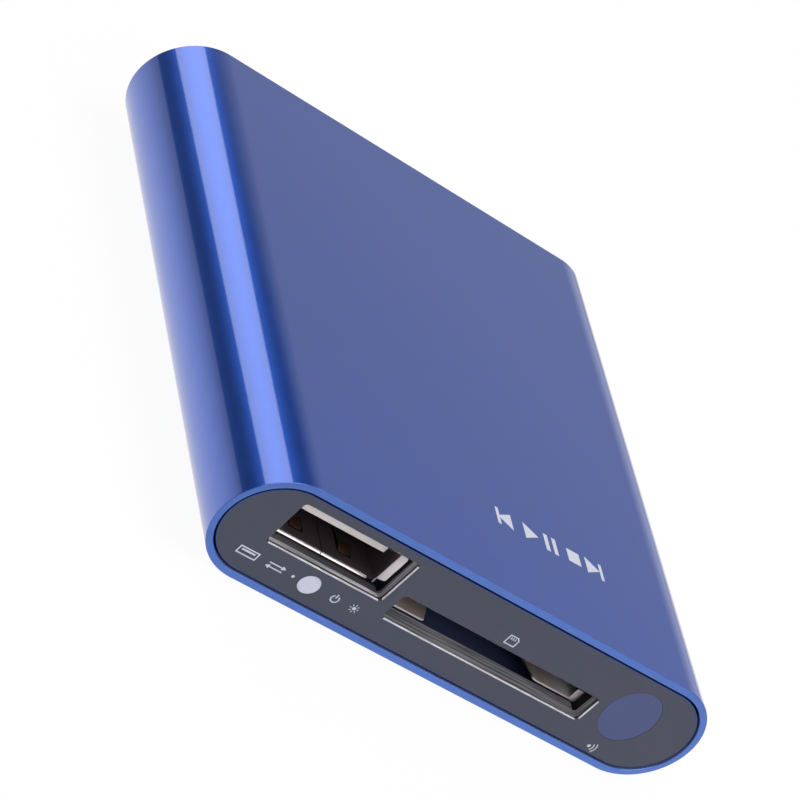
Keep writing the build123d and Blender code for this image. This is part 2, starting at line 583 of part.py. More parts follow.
# Card carriage: slides back with the card. Its arm meets the card's corner, its wing carries the spring,
# and a slanted groove in its underside guides the cam pin.
ARM_RIGHT = -5.0
ARM_FRONT = -8.4
WING_LEFT = -12.0
GROOVE_START_Y = PIN_PIVOT_Y + PIN_REACH
GROOVE_PLAY = 0.06
GROOVE_ANGLE = degrees(atan2(CARRIAGE_TRAVEL, -2 * PIN_SWEEP))
GROOVE_DEPTH = 0.8
SPRING_PEG = 0.35
SPRING_PEG_LENGTH = 1.2

with BuildPart() as card_carriage:
    block(CARRIAGE_LEFT, CARRIAGE_RIGHT, CARRIAGE_FRONT, CARRIAGE_BACK, CARRIAGE_BOTTOM, CARRIAGE_TOP)
    block(CARRIAGE_RIGHT, ARM_RIGHT, ARM_FRONT, CARRIAGE_BACK, CARRIAGE_BOTTOM, CARRIAGE_TOP)
    block(WING_LEFT, CARRIAGE_LEFT, WING_FRONT, WING_BACK, CARRIAGE_BOTTOM, CARRIAGE_TOP)
    rod(SPRING_X, SPRING_Z, SPRING_PEG, WING_BACK, WING_BACK + SPRING_PEG_LENGTH)
    with BuildSketch(Plane.XY.offset(CARRIAGE_BOTTOM)):
        with Locations((PIN_X, GROOVE_START_Y - CARRIAGE_TRAVEL / 2)):
            SlotCenterToCenter(hypot(CARRIAGE_TRAVEL, 2 * PIN_SWEEP), 2 * (PIN_WIRE + GROOVE_PLAY),
                               rotation=GROOVE_ANGLE)
    extrude(amount=GROOVE_DEPTH, mode=Mode.SUBTRACT)
save(card_carriage, "card_carriage")

# Cam pin: a wire with both ends bent up, one in the base and one in the carriage's groove
PEG_TOP = 5.1
pin_angle = degrees(asin(PIN_SWEEP / PIN_REACH))
pin_end_x = PIN_X - PIN_SWEEP
pin_end_y = PIN_PIVOT_Y + PIN_REACH * cos(asin(PIN_SWEEP / PIN_REACH))

with BuildPart() as cam_pin:
    with Locations(((PIN_X + pin_end_x) / 2, (PIN_PIVOT_Y + pin_end_y) / 2, PIN_Z)):
        Cylinder(PIN_WIRE, PIN_REACH, rotation=(90, 0, pin_angle))
    for end_x, end_y in ((PIN_X, PIN_PIVOT_Y), (pin_end_x, pin_end_y)):
        with Locations((end_x, end_y, (PIN_Z + PEG_TOP) / 2)):
            Cylinder(PIN_WIRE, PEG_TOP - PIN_Z)
        with Locations((end_x, end_y, PIN_Z)):
            Sphere(PIN_WIRE)
save(cam_pin, "cam_pin")

# Eject spring: one unbroken wire between the carriage's wing and the back wall of the socket
SPRING_FRONT = WING_BACK + SPRING_WIRE
SPRING_END = SOCKET_BACK - SOCKET_BACK_WALL - SPRING_WIRE
SPRING_LENGTH = SPRING_END - SPRING_FRONT
SPRING_PITCH = SPRING_LENGTH / SPRING_TURNS
POINTS_PER_TURN = 24

with BuildPart() as eject_spring:
    with BuildLine() as spring_path:
        Helix(SPRING_PITCH, SPRING_LENGTH, SPRING_RADIUS,
              center=(SPRING_X, SPRING_FRONT, SPRING_Z), direction=(0, 1, 0))
    with BuildSketch(Plane(origin=spring_path.line @ 0, z_dir=spring_path.line % 0)):
        Circle(SPRING_WIRE)
    sweep(path=spring_path.line, is_frenet=True)
save(eject_spring, "eject_spring")

spring_points = [
    (SPRING_RADIUS * cos(2 * pi * step / POINTS_PER_TURN),
     SPRING_RADIUS * sin(2 * pi * step / POINTS_PER_TURN),
     SPRING_PITCH * step / POINTS_PER_TURN)
    for step in range(SPRING_TURNS * POINTS_PER_TURN + 1)
]
least_gap = min(
    hypot(a[0] - b[0], a[1] - b[1], a[2] - b[2])
    for i, a in enumerate(spring_points)
    for b in spring_points[i + POINTS_PER_TURN // 2:]
) - 2 * SPRING_WIRE
print("eject spring, least gap to itself:", round(least_gap, 3), "mm")

# Video socket: a folded shell, a tongue on a block, and a row of contacts on each side of the tongue
VIDEO_SHEET = 0.3
VIDEO_BLOCK_BACK = 20.5
VIDEO_TONGUE_HALF = 5.4
VIDEO_TONGUE_LOW = 3.4
VIDEO_TONGUE_HIGH = 5.0
VIDEO_OUT = REAR_PANEL_OUT - 0.2
VIDEO_TONGUE_OUT = VIDEO_OUT - 1.0
VIDEO_CONTACT_OUT = VIDEO_OUT - 1.5
VIDEO_PITCH = 1.0
VIDEO_CONTACT_HALF_WIDTH = 0.22
VIDEO_CONTACT_THICK = 0.15
VIDEO_FOOT_X = (VIDEO_X - 4.5, VIDEO_X + 4.5)
VIDEO_FOOT_Y = (20.0, 26.0)
VIDEO_FOOT_HALF_WIDTH = 0.8
VIDEO_FOOT_LENGTH = 1.5
VIDEO_BLOCK_PLAY = 0.05

with BuildPart() as video_socket_shell:
    with BuildSketch(upright(VIDEO_IN)):
        with BuildLine():
            Polyline(video_outline(0), close=True)
        make_face()
    extrude(amount=-(VIDEO_OUT - VIDEO_IN))
    with BuildSketch(upright(VIDEO_IN + VIDEO_SHEET)):
        with BuildLine():
            Polyline(video_outline(VIDEO_SHEET), close=True)
        make_face()
    extrude(amount=-(VIDEO_OUT - VIDEO_IN), mode=Mode.SUBTRACT)
    for foot_x in VIDEO_FOOT_X:
        for foot_y in VIDEO_FOOT_Y:
            block(foot_x - VIDEO_FOOT_HALF_WIDTH, foot_x + VIDEO_FOOT_HALF_WIDTH,
                  foot_y, foot_y + VIDEO_FOOT_LENGTH, VIDEO_TOP, BOARD_BOTTOM)
save(video_socket_shell, "video_socket_shell")

with BuildPart() as video_socket_tongue:
    with BuildSketch(upright(VIDEO_IN + VIDEO_SHEET)):
        with BuildLine():
            Polyline(video_outline(VIDEO_SHEET + VIDEO_BLOCK_PLAY), close=True)
        make_face()
    extrude(amount=-(VIDEO_BLOCK_BACK - VIDEO_IN - VIDEO_SHEET))
    block(VIDEO_X - VIDEO_TONGUE_HALF, VIDEO_X + VIDEO_TONGUE_HALF, VIDEO_BLOCK_BACK, VIDEO_TONGUE_OUT,
          VIDEO_TONGUE_LOW, VIDEO_TONGUE_HIGH)
save(video_socket_tongue, "video_socket_tongue")

with BuildPart() as video_socket_contacts:
    for count, low in ((10, VIDEO_TONGUE_LOW - VIDEO_CONTACT_THICK), (9, VIDEO_TONGUE_HIGH)):
        for index in range(count):
            contact_x = VIDEO_X + (index - (count - 1) / 2) * VIDEO_PITCH
            block(contact_x - VIDEO_CONTACT_HALF_WIDTH, contact_x + VIDEO_CONTACT_HALF_WIDTH,
                  VIDEO_BLOCK_BACK, VIDEO_CONTACT_OUT, low, low + VIDEO_CONTACT_THICK)
save(video_socket_contacts, "video_socket_contacts")

# Sound and picture jack: a plastic body, a metal bushing that shows at the back, and two side springs
AV_HALF = 3.0
AV_BODY_BOTTOM = 2.0
AV_BODY_OUT = 28.6
AV_BACK_WALL = 0.8
BUSHING_SEAT = 27.6
BUSHING_RADIUS = 2.6
BUSHING_NECK_RADIUS = 2.2
AV_SPRING_BAY = (19.4, 26.6)
AV_SPRING_BAY_HALF_WIDTH = 2.3
AV_SPRING_BAY_HALF_HEIGHT = 0.5
AV_SPRING_ENDS = (19.5, 26.5)
AV_SPRING_IN = 1.85
AV_SPRING_OUT = 2.15
AV_SPRING_HALF_HEIGHT = 0.4

with BuildPart() as av_jack_body:
    block(AV_X - AV_HALF, AV_X + AV_HALF, AV_IN, AV_BODY_OUT, AV_BODY_BOTTOM, BOARD_BOTTOM)
    rod(AV_X, AV_Z, AV_BORE, AV_IN + AV_BACK_WALL, AV_BODY_OUT, mode=Mode.SUBTRACT)
    rod(AV_X, AV_Z, BUSHING_NECK_RADIUS, BUSHING_SEAT, AV_BODY_OUT, mode=Mode.SUBTRACT)
    block(AV_X - AV_SPRING_BAY_HALF_WIDTH, AV_X + AV_SPRING_BAY_HALF_WIDTH,
          AV_SPRING_BAY[0], AV_SPRING_BAY[1],
          AV_Z - AV_SPRING_BAY_HALF_HEIGHT, AV_Z + AV_SPRING_BAY_HALF_HEIGHT, mode=Mode.SUBTRACT)
save(av_jack_body, "av_jack_body")

with BuildPart() as av_jack_bushing:
    rod(AV_X, AV_Z, BUSHING_RADIUS, AV_BODY_OUT, REAR_PANEL_OUT)
    rod(AV_X, AV_Z, BUSHING_NECK_RADIUS, BUSHING_SEAT, AV_BODY_OUT)
    rod(AV_X, AV_Z, AV_BORE, BUSHING_SEAT, REAR_PANEL_OUT, mode=Mode.SUBTRACT)
save(av_jack_bushing, "av_jack_bushing")

with BuildPart() as av_jack_springs:
    for side in (-1, 1):
        near, far = sorted((AV_X + side * AV_SPRING_IN, AV_X + side * AV_SPRING_OUT))
        block(near, far, AV_SPRING_ENDS[0], AV_SPRING_ENDS[1],
              AV_Z - AV_SPRING_HALF_HEIGHT, AV_Z + AV_SPRING_HALF_HEIGHT)
save(av_jack_springs, "av_jack_springs")

# Power jack: a plastic body with a round nose, a centre pin and a side spring
DC_HALF = 3.3
DC_BODY_BOTTOM = 1.7
DC_BODY_OUT = 29.0
DC_NOSE = 2.7
DC_NOSE_OUT = REAR_PANEL_OUT - 0.1
DC_FLOOR = 21.5
DC_PIN = 0.65
DC_PIN_OUT = 29.6
DC_SPRING_BAY = (22.4, 28.2)
DC_SPRING_BAY_X = (DC_X + 1.5, DC_X + 2.5)
DC_SPRING_BAY_HALF_HEIGHT = 0.5
DC_SPRING_ENDS = (22.5, 28.1)
DC_SPRING_X = (DC_X + 2.0, DC_X + 2.3)
DC_SPRING_HALF_HEIGHT = 0.4

with BuildPart() as dc_jack_body:
    block(DC_X - DC_HALF, DC_X + DC_HALF, DC_IN, DC_BODY_OUT, DC_BODY_BOTTOM, BOARD_BOTTOM)
    rod(DC_X, DC_Z, DC_NOSE, DC_BODY_OUT, DC_NOSE_OUT)
    rod(DC_X, DC_Z, DC_BORE, DC_FLOOR, DC_NOSE_OUT, mode=Mode.SUBTRACT)
    rod(DC_X, DC_Z, DC_PIN, DC_IN, DC_FLOOR, mode=Mode.SUBTRACT)
    block(DC_SPRING_BAY_X[0], DC_SPRING_BAY_X[1], DC_SPRING_BAY[0], DC_SPRING_BAY[1],
          DC_Z - DC_SPRING_BAY_HALF_HEIGHT, DC_Z + DC_SPRING_BAY_HALF_HEIGHT, mode=Mode.SUBTRACT)
save(dc_jack_body, "dc_jack_body")

with BuildPart() as dc_jack_pin:
    rod(DC_X, DC_Z, DC_PIN, DC_IN, DC_PIN_OUT)
    with Locations((DC_X, DC_PIN_OUT, DC_Z)):
        Sphere(DC_PIN)
save(dc_jack_pin, "dc_jack_pin")

with BuildPart() as dc_jack_spring:
    block(DC_SPRING_X[0], DC_SPRING_X[1], DC_SPRING_ENDS[0], DC_SPRING_ENDS[1],
          DC_Z - DC_SPRING_HALF_HEIGHT, DC_Z + DC_SPRING_HALF_HEIGHT)
save(dc_jack_spring, "dc_jack_spring")

# Infrared receiver: a moulded body with a round lens behind the window, and three bent leads
RECEIVER_HALF_WIDTH = 2.4
RECEIVER_FRONT = -27.4
RECEIVER_BACK = -24.8
RECEIVER_BOTTOM = 5.4
RECEIVER_TOP = 9.9
LENS_RADIUS = 2.0
LENS_REACH = 1.2
LENS_Z = WINDOW_Z + 0.46
LEAD_OFFSETS = (-1.27, 0.0, 1.27)
LEAD_HALF_WIDTH = 0.2
LEAD_Y = (-26.3, -25.9)
LEAD_UP_Y = (-24.0, -23.6)
LEAD_Z = (3.0, 3.4)

with BuildPart() as infrared_receiver:
    block(WINDOW_X - RECEIVER_HALF_WIDTH, WINDOW_X + RECEIVER_HALF_WIDTH, RECEIVER_FRONT, RECEIVER_BACK,
          RECEIVER_BOTTOM, RECEIVER_TOP)
    with Locations((WINDOW_X, RECEIVER_FRONT + LENS_RADIUS - LENS_REACH, LENS_Z)):
        Sphere(LENS_RADIUS)
save(infrared_receiver, "infrared_receiver")

with BuildPart() as receiver_leads:
    for offset in LEAD_OFFSETS:
        lead_left = WINDOW_X + offset - LEAD_HALF_WIDTH
        lead_right = WINDOW_X + offset + LEAD_HALF_WIDTH
        block(lead_left, lead_right, LEAD_Y[0], LEAD_Y[1], LEAD_Z[0], RECEIVER_BOTTOM)
        block(lead_left, lead_right, LEAD_Y[1], LEAD_UP_Y[1], LEAD_Z[0], LEAD_Z[1])
        block(lead_left, lead_right, LEAD_UP_Y[0], LEAD_UP_Y[1], LEAD_Z[1], BOARD_BOTTOM)
save(receiver_leads, "receiver_leads")

# Processor and the soft pad that leads its heat to the top of the sleeve
PROCESSOR_AT = (6.0, 7.0)
PROCESSOR_SIZE = 15.0
PROCESSOR_BASE = 0.4
PROCESSOR_STEP = 0.8
PROCESSOR_TOP = BOARD_TOP + 1.3
PAD_SIZE = 12.0
SLEEVE_ROOF = BODY_HEIGHT - WALL

with BuildPart() as processor:
    with Locations((PROCESSOR_AT[0], PROCESSOR_AT[1], BOARD_TOP + PROCESSOR_BASE / 2)):
        Box(PROCESSOR_SIZE, PROCESSOR_SIZE, PROCESSOR_BASE)
    with Locations((PROCESSOR_AT[0], PROCESSOR_AT[1], (BOARD_TOP + PROCESSOR_BASE + PROCESSOR_TOP) / 2)):
        Box(PROCESSOR_SIZE - 2 * PROCESSOR_STEP, PROCESSOR_SIZE - 2 * PROCESSOR_STEP,
            PROCESSOR_TOP - BOARD_TOP - PROCESSOR_BASE)
save(processor, "processor")

with BuildPart() as thermal_pad:
    with Locations((PROCESSOR_AT[0], PROCESSOR_AT[1], (PROCESSOR_TOP + SLEEVE_ROOF) / 2)):
        Box(PAD_SIZE, PAD_SIZE, SLEEVE_ROOF - PROCESSOR_TOP)
save(thermal_pad, "thermal_pad")

# Memory chips: a pair beside the processor
MEMORY_AT = ((-9.5, -1.0), (-9.5, 14.0))
MEMORY_BODY = (9.0, 13.0, 1.1)

with BuildPart() as memory_chips:
    for chip_x, chip_y in MEMORY_AT:
        with Locations((chip_x, chip_y, BOARD_TOP + MEMORY_BODY[2] / 2)):
            Box(*MEMORY_BODY)
save(memory_chips, "memory_chips")

# Storage chip: a flat package with a row of leads along each short end
STORAGE_AT = (6.0, -14.0)
STORAGE_BODY = (16.4, 12.0, 1.0)
STORAGE_LIFT = 0.1
STORAGE_LEADS = 24
STORAGE_PITCH = 0.5
STORAGE_LEAD_WIDTH = 0.2
STORAGE_LEAD_THICK = 0.12
STORAGE_LEAD_SHOULDER = 0.4
STORAGE_LEAD_REACH = 1.0
STORAGE_LEAD_TOP = BOARD_TOP + 0.65

with BuildPart() as storage_chip:
    with Locations((STORAGE_AT[0], STORAGE_AT[1], BOARD_TOP + STORAGE_LIFT + STORAGE_BODY[2] / 2)):
        Box(*STORAGE_BODY)
save(storage_chip, "storage_chip")

with BuildPart() as storage_chip_leads:
    for side in (-1, 1):
        near = STORAGE_AT[0] + side * STORAGE_BODY[0] / 2
        bend_out = near + side * STORAGE_LEAD_SHOULDER
        bend_in = near + side * (STORAGE_LEAD_SHOULDER - STORAGE_LEAD_THICK)
        far = near + side * STORAGE_LEAD_REACH
        for index in range(STORAGE_LEADS):
            lead_y = STORAGE_AT[1] + (index - (STORAGE_LEADS - 1) / 2) * STORAGE_PITCH
            with BuildSketch(Plane.XZ.offset(STORAGE_LEAD_WIDTH / 2 - lead_y)):
                with BuildLine():
                    Polyline([
                        (near, STORAGE_LEAD_TOP),
                        (bend_out, STORAGE_LEAD_TOP),
                        (bend_out, BOARD_TOP + STORAGE_LEAD_THICK),
                        (far, BOARD_TOP + STORAGE_LEAD_THICK),
                        (far, BOARD_TOP),
                        (bend_in, BOARD_TOP),
                        (bend_in, STORAGE_LEAD_TOP - STORAGE_LEAD_THICK),
                        (near, STORAGE_LEAD_TOP - STORAGE_LEAD_THICK),
                    ], close=True)
                make_face()
            extrude(amount=-STORAGE_LEAD_WIDTH)
save(storage_chip_leads, "storage_chip_leads")

# Crystal: a low metal can
CRYSTAL_AT = (6.0, -4.0)
CRYSTAL_LENGTH = 11.0
CRYSTAL_WIDTH = 4.6
CRYSTAL_HEIGHT = 2.7

with BuildPart() as crystal:
    with BuildSketch(Plane.XY.offset(BOARD_TOP)):
        with Locations(CRYSTAL_AT):
            SlotOverall(CRYSTAL_LENGTH, CRYSTAL_WIDTH)
    extrude(amount=CRYSTAL_HEIGHT)
save(crystal, "crystal")

# Power inductors: two shielded blocks with a round core
COIL_X = 20.5
COIL_Y = (2.0, 9.0)
COIL_SIZE = 5.0
COIL_HEIGHT = 2.2
CORE_RADIUS = 1.9
CORE_RISE = 0.3

with BuildPart() as power_inductors:
    for coil_y in COIL_Y:
        with Locations((COIL_X, coil_y, BOARD_TOP + COIL_HEIGHT / 2)):
            Box(COIL_SIZE, COIL_SIZE, COIL_HEIGHT)
        with Locations((COIL_X, coil_y, BOARD_TOP + COIL_HEIGHT + CORE_RISE / 2)):
            Cylinder(CORE_RADIUS, CORE_RISE)
save(power_inductors, "power_inductors")

# Voltage regulator: a small block with a wide tab and three legs
REGULATOR_AT = (20.0, 18.0)
REGULATOR_BODY = (6.5, 3.5, 1.6)
REGULATOR_LIFT = 0.1
REGULATOR_SHEET = 0.3
REGULATOR_TAB_HALF = 1.5
REGULATOR_TAB_ENDS = (19.7, 21.4)
REGULATOR_LEG_OFFSETS = (-2.3, 0.0, 2.3)
REGULATOR_LEG_HALF = 0.35
REGULATOR_LEG_ENDS = (14.7, 16.3)

with BuildPart() as voltage_regulator:
    with Locations((REGULATOR_AT[0], REGULATOR_AT[1], BOARD_TOP + REGULATOR_LIFT + REGULATOR_BODY[2] / 2)):
        Box(*REGULATOR_BODY)
    block(REGULATOR_AT[0] - REGULATOR_TAB_HALF, REGULATOR_AT[0] + REGULATOR_TAB_HALF,
          REGULATOR_TAB_ENDS[0], REGULATOR_TAB_ENDS[1], BOARD_TOP, BOARD_TOP + REGULATOR_SHEET)
    for offset in REGULATOR_LEG_OFFSETS:
        leg_x = REGULATOR_AT[0] + offset
        block(leg_x - REGULATOR_LEG_HALF, leg_x + REGULATOR_LEG_HALF,
              REGULATOR_LEG_ENDS[0], REGULATOR_LEG_ENDS[1], BOARD_TOP, BOARD_TOP + REGULATOR_SHEET)
save(voltage_regulator, "voltage_regulator")

# Capacitors: four moulded blocks near the power jack and rows of small ceramic ones
MOULDED_AT = ((10.0, 21.0), (5.0, 21.0), (-20.0, 20.0), (-20.0, 14.0))
MOULDED_BODY = (3.5, 2.8, 1.9)
CERAMIC_ROWS = ((-3.0, 13.2, 6), (17.5, -7.5, 5), (-24.0, -12.4, 3))
CERAMIC_PITCH = 1.6
CERAMIC_BODY = (1.6, 0.8, 0.6)

with BuildPart() as moulded_capacitors:
    for cap_x, cap_y in MOULDED_AT:
        with Locations((cap_x, cap_y, BOARD_TOP + MOULDED_BODY[2] / 2)):
            Box(*MOULDED_BODY)
save(moulded_capacitors, "moulded_capacitors")

with BuildPart() as ceramic_capacitors:
    for row_x, first_y, count in CERAMIC_ROWS:
        for index in range(count):
            with Locations((row_x, first_y + index * CERAMIC_PITCH, BOARD_TOP + CERAMIC_BODY[2] / 2)):
                Box(*CERAMIC_BODY)
save(ceramic_capacitors, "ceramic_capacitors")
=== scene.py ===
import math

import bmesh
import bpy
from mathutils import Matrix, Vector


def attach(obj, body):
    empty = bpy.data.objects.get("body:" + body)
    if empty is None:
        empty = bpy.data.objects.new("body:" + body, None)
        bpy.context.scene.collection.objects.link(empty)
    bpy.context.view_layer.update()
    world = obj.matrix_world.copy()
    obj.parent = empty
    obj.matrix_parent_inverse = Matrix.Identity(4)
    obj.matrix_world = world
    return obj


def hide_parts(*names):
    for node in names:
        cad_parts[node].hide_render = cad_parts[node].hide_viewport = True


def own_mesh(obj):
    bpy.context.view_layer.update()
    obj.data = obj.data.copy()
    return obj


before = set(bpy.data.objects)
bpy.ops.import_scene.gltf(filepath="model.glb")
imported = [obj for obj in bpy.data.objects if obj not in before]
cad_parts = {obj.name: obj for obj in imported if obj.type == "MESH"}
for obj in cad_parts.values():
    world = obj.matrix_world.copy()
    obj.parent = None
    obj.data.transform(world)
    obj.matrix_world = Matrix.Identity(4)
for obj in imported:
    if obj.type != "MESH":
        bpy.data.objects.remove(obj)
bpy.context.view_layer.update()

# Camera: a long lens above the player's left front corner. The photograph was taken, or turned, with
# the player's long side leaning, so the camera is rolled by about 48 degrees.
MM = 0.001
SENSOR_WIDTH = 36.0
LENS = 179.2
CAMERA_PLACE = (-216.289 * MM, -282.116 * MM, 170.910 * MM)
CAMERA_TURN = (55.5116, -42.0105, -12.6250)

bpy.ops.object.camera_add(location=CAMERA_PLACE, rotation=[math.radians(angle) for angle in CAMERA_TURN])
camera = bpy.context.object
camera.name = "camera"
camera.data.sensor_width = SENSOR_WIDTH
camera.data.lens = LENS
camera.data.clip_start = 0.01
camera.data.clip_end = 20.0
bpy.context.scene.camera = camera
bpy.context.scene.view_settings.view_transform = "Standard"


# Studio: a white table and a pale room that darkens upwards and to the left, as in a plain product shot.
# The table is white to the camera, fades with distance in reflections, and keeps the player's soft shadow.
def new_material(name):
    """An empty material, its node tree and its output node."""
    material = bpy.data.materials.new(name)
    material.use_nodes = True
    tree = material.node_tree
    tree.nodes.clear()
    output = tree.nodes.new("ShaderNodeOutputMaterial")
    return material, tree, output


def counted(tree, operation, *values):
    """A Math node's result. Each of its values is a decimal number or a socket."""
    node = tree.nodes.new("ShaderNodeMath")
    node.operation = operation
    for value, socket in zip(values, node.inputs):
        if isinstance(value, float):
            socket.default_value = value
        else:
            tree.links.new(value, socket)
    return node.outputs[0]


def split_place(tree, kind="Object"):
    """The X, Y and Z of a point's place, or of a direction in the room."""
    place = tree.nodes.new("ShaderNodeTexCoord")
    parts = tree.nodes.new("ShaderNodeSeparateXYZ")
    tree.links.new(place.outputs[kind], parts.inputs[0])
    return parts.outputs


def seen_directly(tree):
    """1 for what is seen by the camera, in a reflection or through clear plastic, and otherwise 0."""
    path = tree.nodes.new("ShaderNodeLightPath")
    seen_or_mirrored = counted(tree, "MAXIMUM", path.outputs["Is Camera Ray"], path.outputs["Is Glossy Ray"])
    return counted(tree, "MAXIMUM", seen_or_mirrored, path.outputs["Is Transmission Ray"])


def fill_ramp(ramp, stops):
    """Sets a grey ramp from pairs of place and level."""
    for index, (place, level) in enumerate(stops):
        stop = ramp.elements[index] if index < 2 else ramp.elements.new(place)
        stop.position = place
        stop.color = (level, level, level, 1.0)


TABLE_SIZE = 12.0
TABLE_OWN_WHITE = 0.945
TABLE_BRIGHT_SPOT = (0.05, 0.0, 0.0)
TABLE_FAR = 0.8
TABLE_BY_DISTANCE = ((0.08, 1.0), (0.106, 0.92), (0.125, 0.72), (0.175, 0.50), (0.5, 0.42), (0.85, 0.10))
TABLE_COLOUR = (0.90, 0.90, 0.91, 1.0)
PLAIN_WHITE = (1.0, 1.0, 1.0, 1.0)

bpy.ops.object.select_all(action="DESELECT")
bpy.ops.mesh.primitive_plane_add(size=TABLE_SIZE, location=(0, 0, 0))
table = bpy.context.object
table.name = "white_table"
table_white, tree, output = new_material("table_white")
diffuse = tree.nodes.new("ShaderNodeBsdfDiffuse")
diffuse.inputs["Color"].default_value = TABLE_COLOUR
white = tree.nodes.new("ShaderNodeEmission")
white.inputs["Color"].default_value = PLAIN_WHITE
spot = tree.nodes.new("ShaderNodeTexCoord")
away = tree.nodes.new("ShaderNodeVectorMath")
away.operation = "DISTANCE"
away.inputs[1].default_value = TABLE_BRIGHT_SPOT
tree.links.new(spot.outputs["Object"], away.inputs[0])
fading = tree.nodes.new("ShaderNodeValToRGB")
fill_ramp(fading.color_ramp, TABLE_BY_DISTANCE)
tree.links.new(counted(tree, "DIVIDE", away.outputs["Value"], TABLE_FAR), fading.inputs["Fac"])
path = tree.nodes.new("ShaderNodeLightPath")
brightness = counted(tree, "MAXIMUM", path.outputs["Is Camera Ray"], fading.outputs["Color"])
tree.links.new(brightness, white.inputs["Strength"])
mix = tree.nodes.new("ShaderNodeMixShader")
tree.links.new(counted(tree, "MULTIPLY", seen_directly(tree), TABLE_OWN_WHITE), mix.inputs["Fac"])
tree.links.new(diffuse.outputs[0], mix.inputs[1])
tree.links.new(white.outputs[0], mix.inputs[2])
tree.links.new(mix.outputs[0], output.inputs["Surface"])
table.data.materials.append(table_white)

ROOM_BY_HEIGHT = ((0.0, 0.70), (0.10, 0.68), (0.20, 0.62), (0.32, 0.50), (0.42, 0.41), (0.53, 0.33),
                  (0.59, 0.22), (0.63, 0.06), (0.66, 0.0), (1.0, 0.0))
ROOM_DARK_SIDE = (-0.45, 0.10)
ROOM_DARK_LEVEL = 0.04

world = bpy.data.worlds.new("studio_room")
bpy.context.scene.world = world
world.use_nodes = True
tree = world.node_tree
tree.nodes.clear()
output = tree.nodes.new("ShaderNodeOutputWorld")
direction = split_place(tree, "Generated")
height = tree.nodes.new("ShaderNodeValToRGB")
fill_ramp(height.color_ramp, ROOM_BY_HEIGHT)
tree.links.new(direction["Z"], height.inputs["Fac"])
side = tree.nodes.new("ShaderNodeMapRange")
side.interpolation_type = "SMOOTHSTEP"
side.inputs["From Min"].default_value = ROOM_DARK_SIDE[0]
side.inputs["From Max"].default_value = ROOM_DARK_SIDE[1]
side.inputs["To Min"].default_value = ROOM_DARK_LEVEL
side.inputs["To Max"].default_value = 1.0
tree.links.new(direction["X"], side.inputs["Value"])
room = tree.nodes.new("ShaderNodeBackground")
room_level = counted(tree, "MULTIPLY", height.outputs["Color"], side.outputs["Result"])
tree.links.new(room_level, room.inputs["Color"])
room.inputs["Strength"].default_value = 1.0
plain_white = tree.nodes.new("ShaderNodeBackground")
plain_white.inputs["Color"].default_value = PLAIN_WHITE
plain_white.inputs["Strength"].default_value = 1.0
path = tree.nodes.new("ShaderNodeLightPath")
mix = tree.nodes.new("ShaderNodeMixShader")
tree.links.new(path.outputs["Is Camera Ray"], mix.inputs["Fac"])
tree.links.new(room.outputs[0], mix.inputs[1])
tree.links.new(plain_white.outputs[0], mix.inputs[2])
tree.links.new(mix.outputs[0], output.inputs["Surface"])


# Lamps: a long softbox behind and above the left side, which draws the bright band along the round side, a
# softbox overhead, a large soft key from the front, and a small one at the right that lights the bevels.
def softbox(name, place, aim, across, width, height, watts):
    """A soft rectangular lamp at a place, aimed at a point, with its width along the given direction."""
    bpy.ops.object.light_add(type="AREA", location=place)
    lamp = bpy.context.object
    lamp.name = name
    lamp.data.shape = "RECTANGLE"
    lamp.data.size = width
    lamp.data.size_y = height
    lamp.data.energy = watts
    back = (Vector(place) - Vector(aim)).normalized()
    x_axis = Vector(across)
    x_axis = (x_axis - back * x_axis.dot(back)).normalized()
    y_axis = back.cross(x_axis)
    lamp.rotation_euler = [0, 0, 0]
    for row in range(3):
        lamp.matrix_world[row][0] = x_axis[row]
        lamp.matrix_world[row][1] = y_axis[row]
        lamp.matrix_world[row][2] = back[row]
    return lamp


PLAYER = (0, 0, 0)
ALONG_FRONT = (1, 0, 0)
softbox("band_softbox", place=(-0.293, 0.60, 0.481), aim=(-0.028, 0.0, 0.01), across=(0.902, 0, 0.431),
        width=0.46, height=0.80, watts=2.05)
softbox("overhead_softbox", place=(0.31, -0.05, 0.84), aim=PLAYER, across=ALONG_FRONT,
        width=0.5, height=0.5, watts=5.0)
softbox("front_key", place=(-0.35, -0.95, 0.95), aim=PLAYER, across=ALONG_FRONT,
        width=1.2, height=0.9, watts=9.0)
softbox("right_softbox", place=(0.55, -0.60, 0.61), aim=PLAYER, across=ALONG_FRONT,
        width=0.42, height=0.42, watts=0.75)

# Housing sleeve: an extruded aluminium tube with round sides, satin anodised in blue. Both mouths are cut
# back inside for the panels, and their outer edges are lightly chamfered. Rails for the board and two open
# screw channels run along its inside, and plain playback symbols are printed on its top.
BODY_WIDTH = 60.0 * MM
BODY_HEIGHT = 12.9 * MM
BODY_DEPTH = 63.4 * MM
SIDE_RADIUS = BODY_HEIGHT / 2
SIDE_SHIFT = BODY_WIDTH / 2 - SIDE_RADIUS
SIDE_STEPS = 320
MOUTH_FLAT_WALL = 0.8 * MM
MOUTH_SIDE_WALL = 0.68 * MM
TUBE_WALL = 1.4 * MM
MOUTH_CHAMFER = 0.1 * MM
RIM_ROUNDING = 0.04 * MM
FRONT_POCKET = 2.45 * MM
BACK_POCKET = 2.3 * MM
RIM_STEP_REACH = 0.1 * MM
# Places closer than SAME are one place, and closer than NEAR lie side by side. A face looks squarely along an
# axis if its normal's part on it is over SQUARE_ON.
SAME = 0.001 * MM
NEAR = 0.1 * MM
SQUARE_ON = 0.99
MERGE_REACH = 1e-7


def choose(piece):
    """Selects the piece alone and makes it the active one."""
    bpy.ops.object.select_all(action="DESELECT")
    piece.select_set(True)
    bpy.context.view_layer.objects.active = piece


def settle(piece):
    """Puts the piece's place, turn and size into its mesh."""
    choose(piece)
    bpy.ops.object.transform_apply(location=True, rotation=True, scale=True)


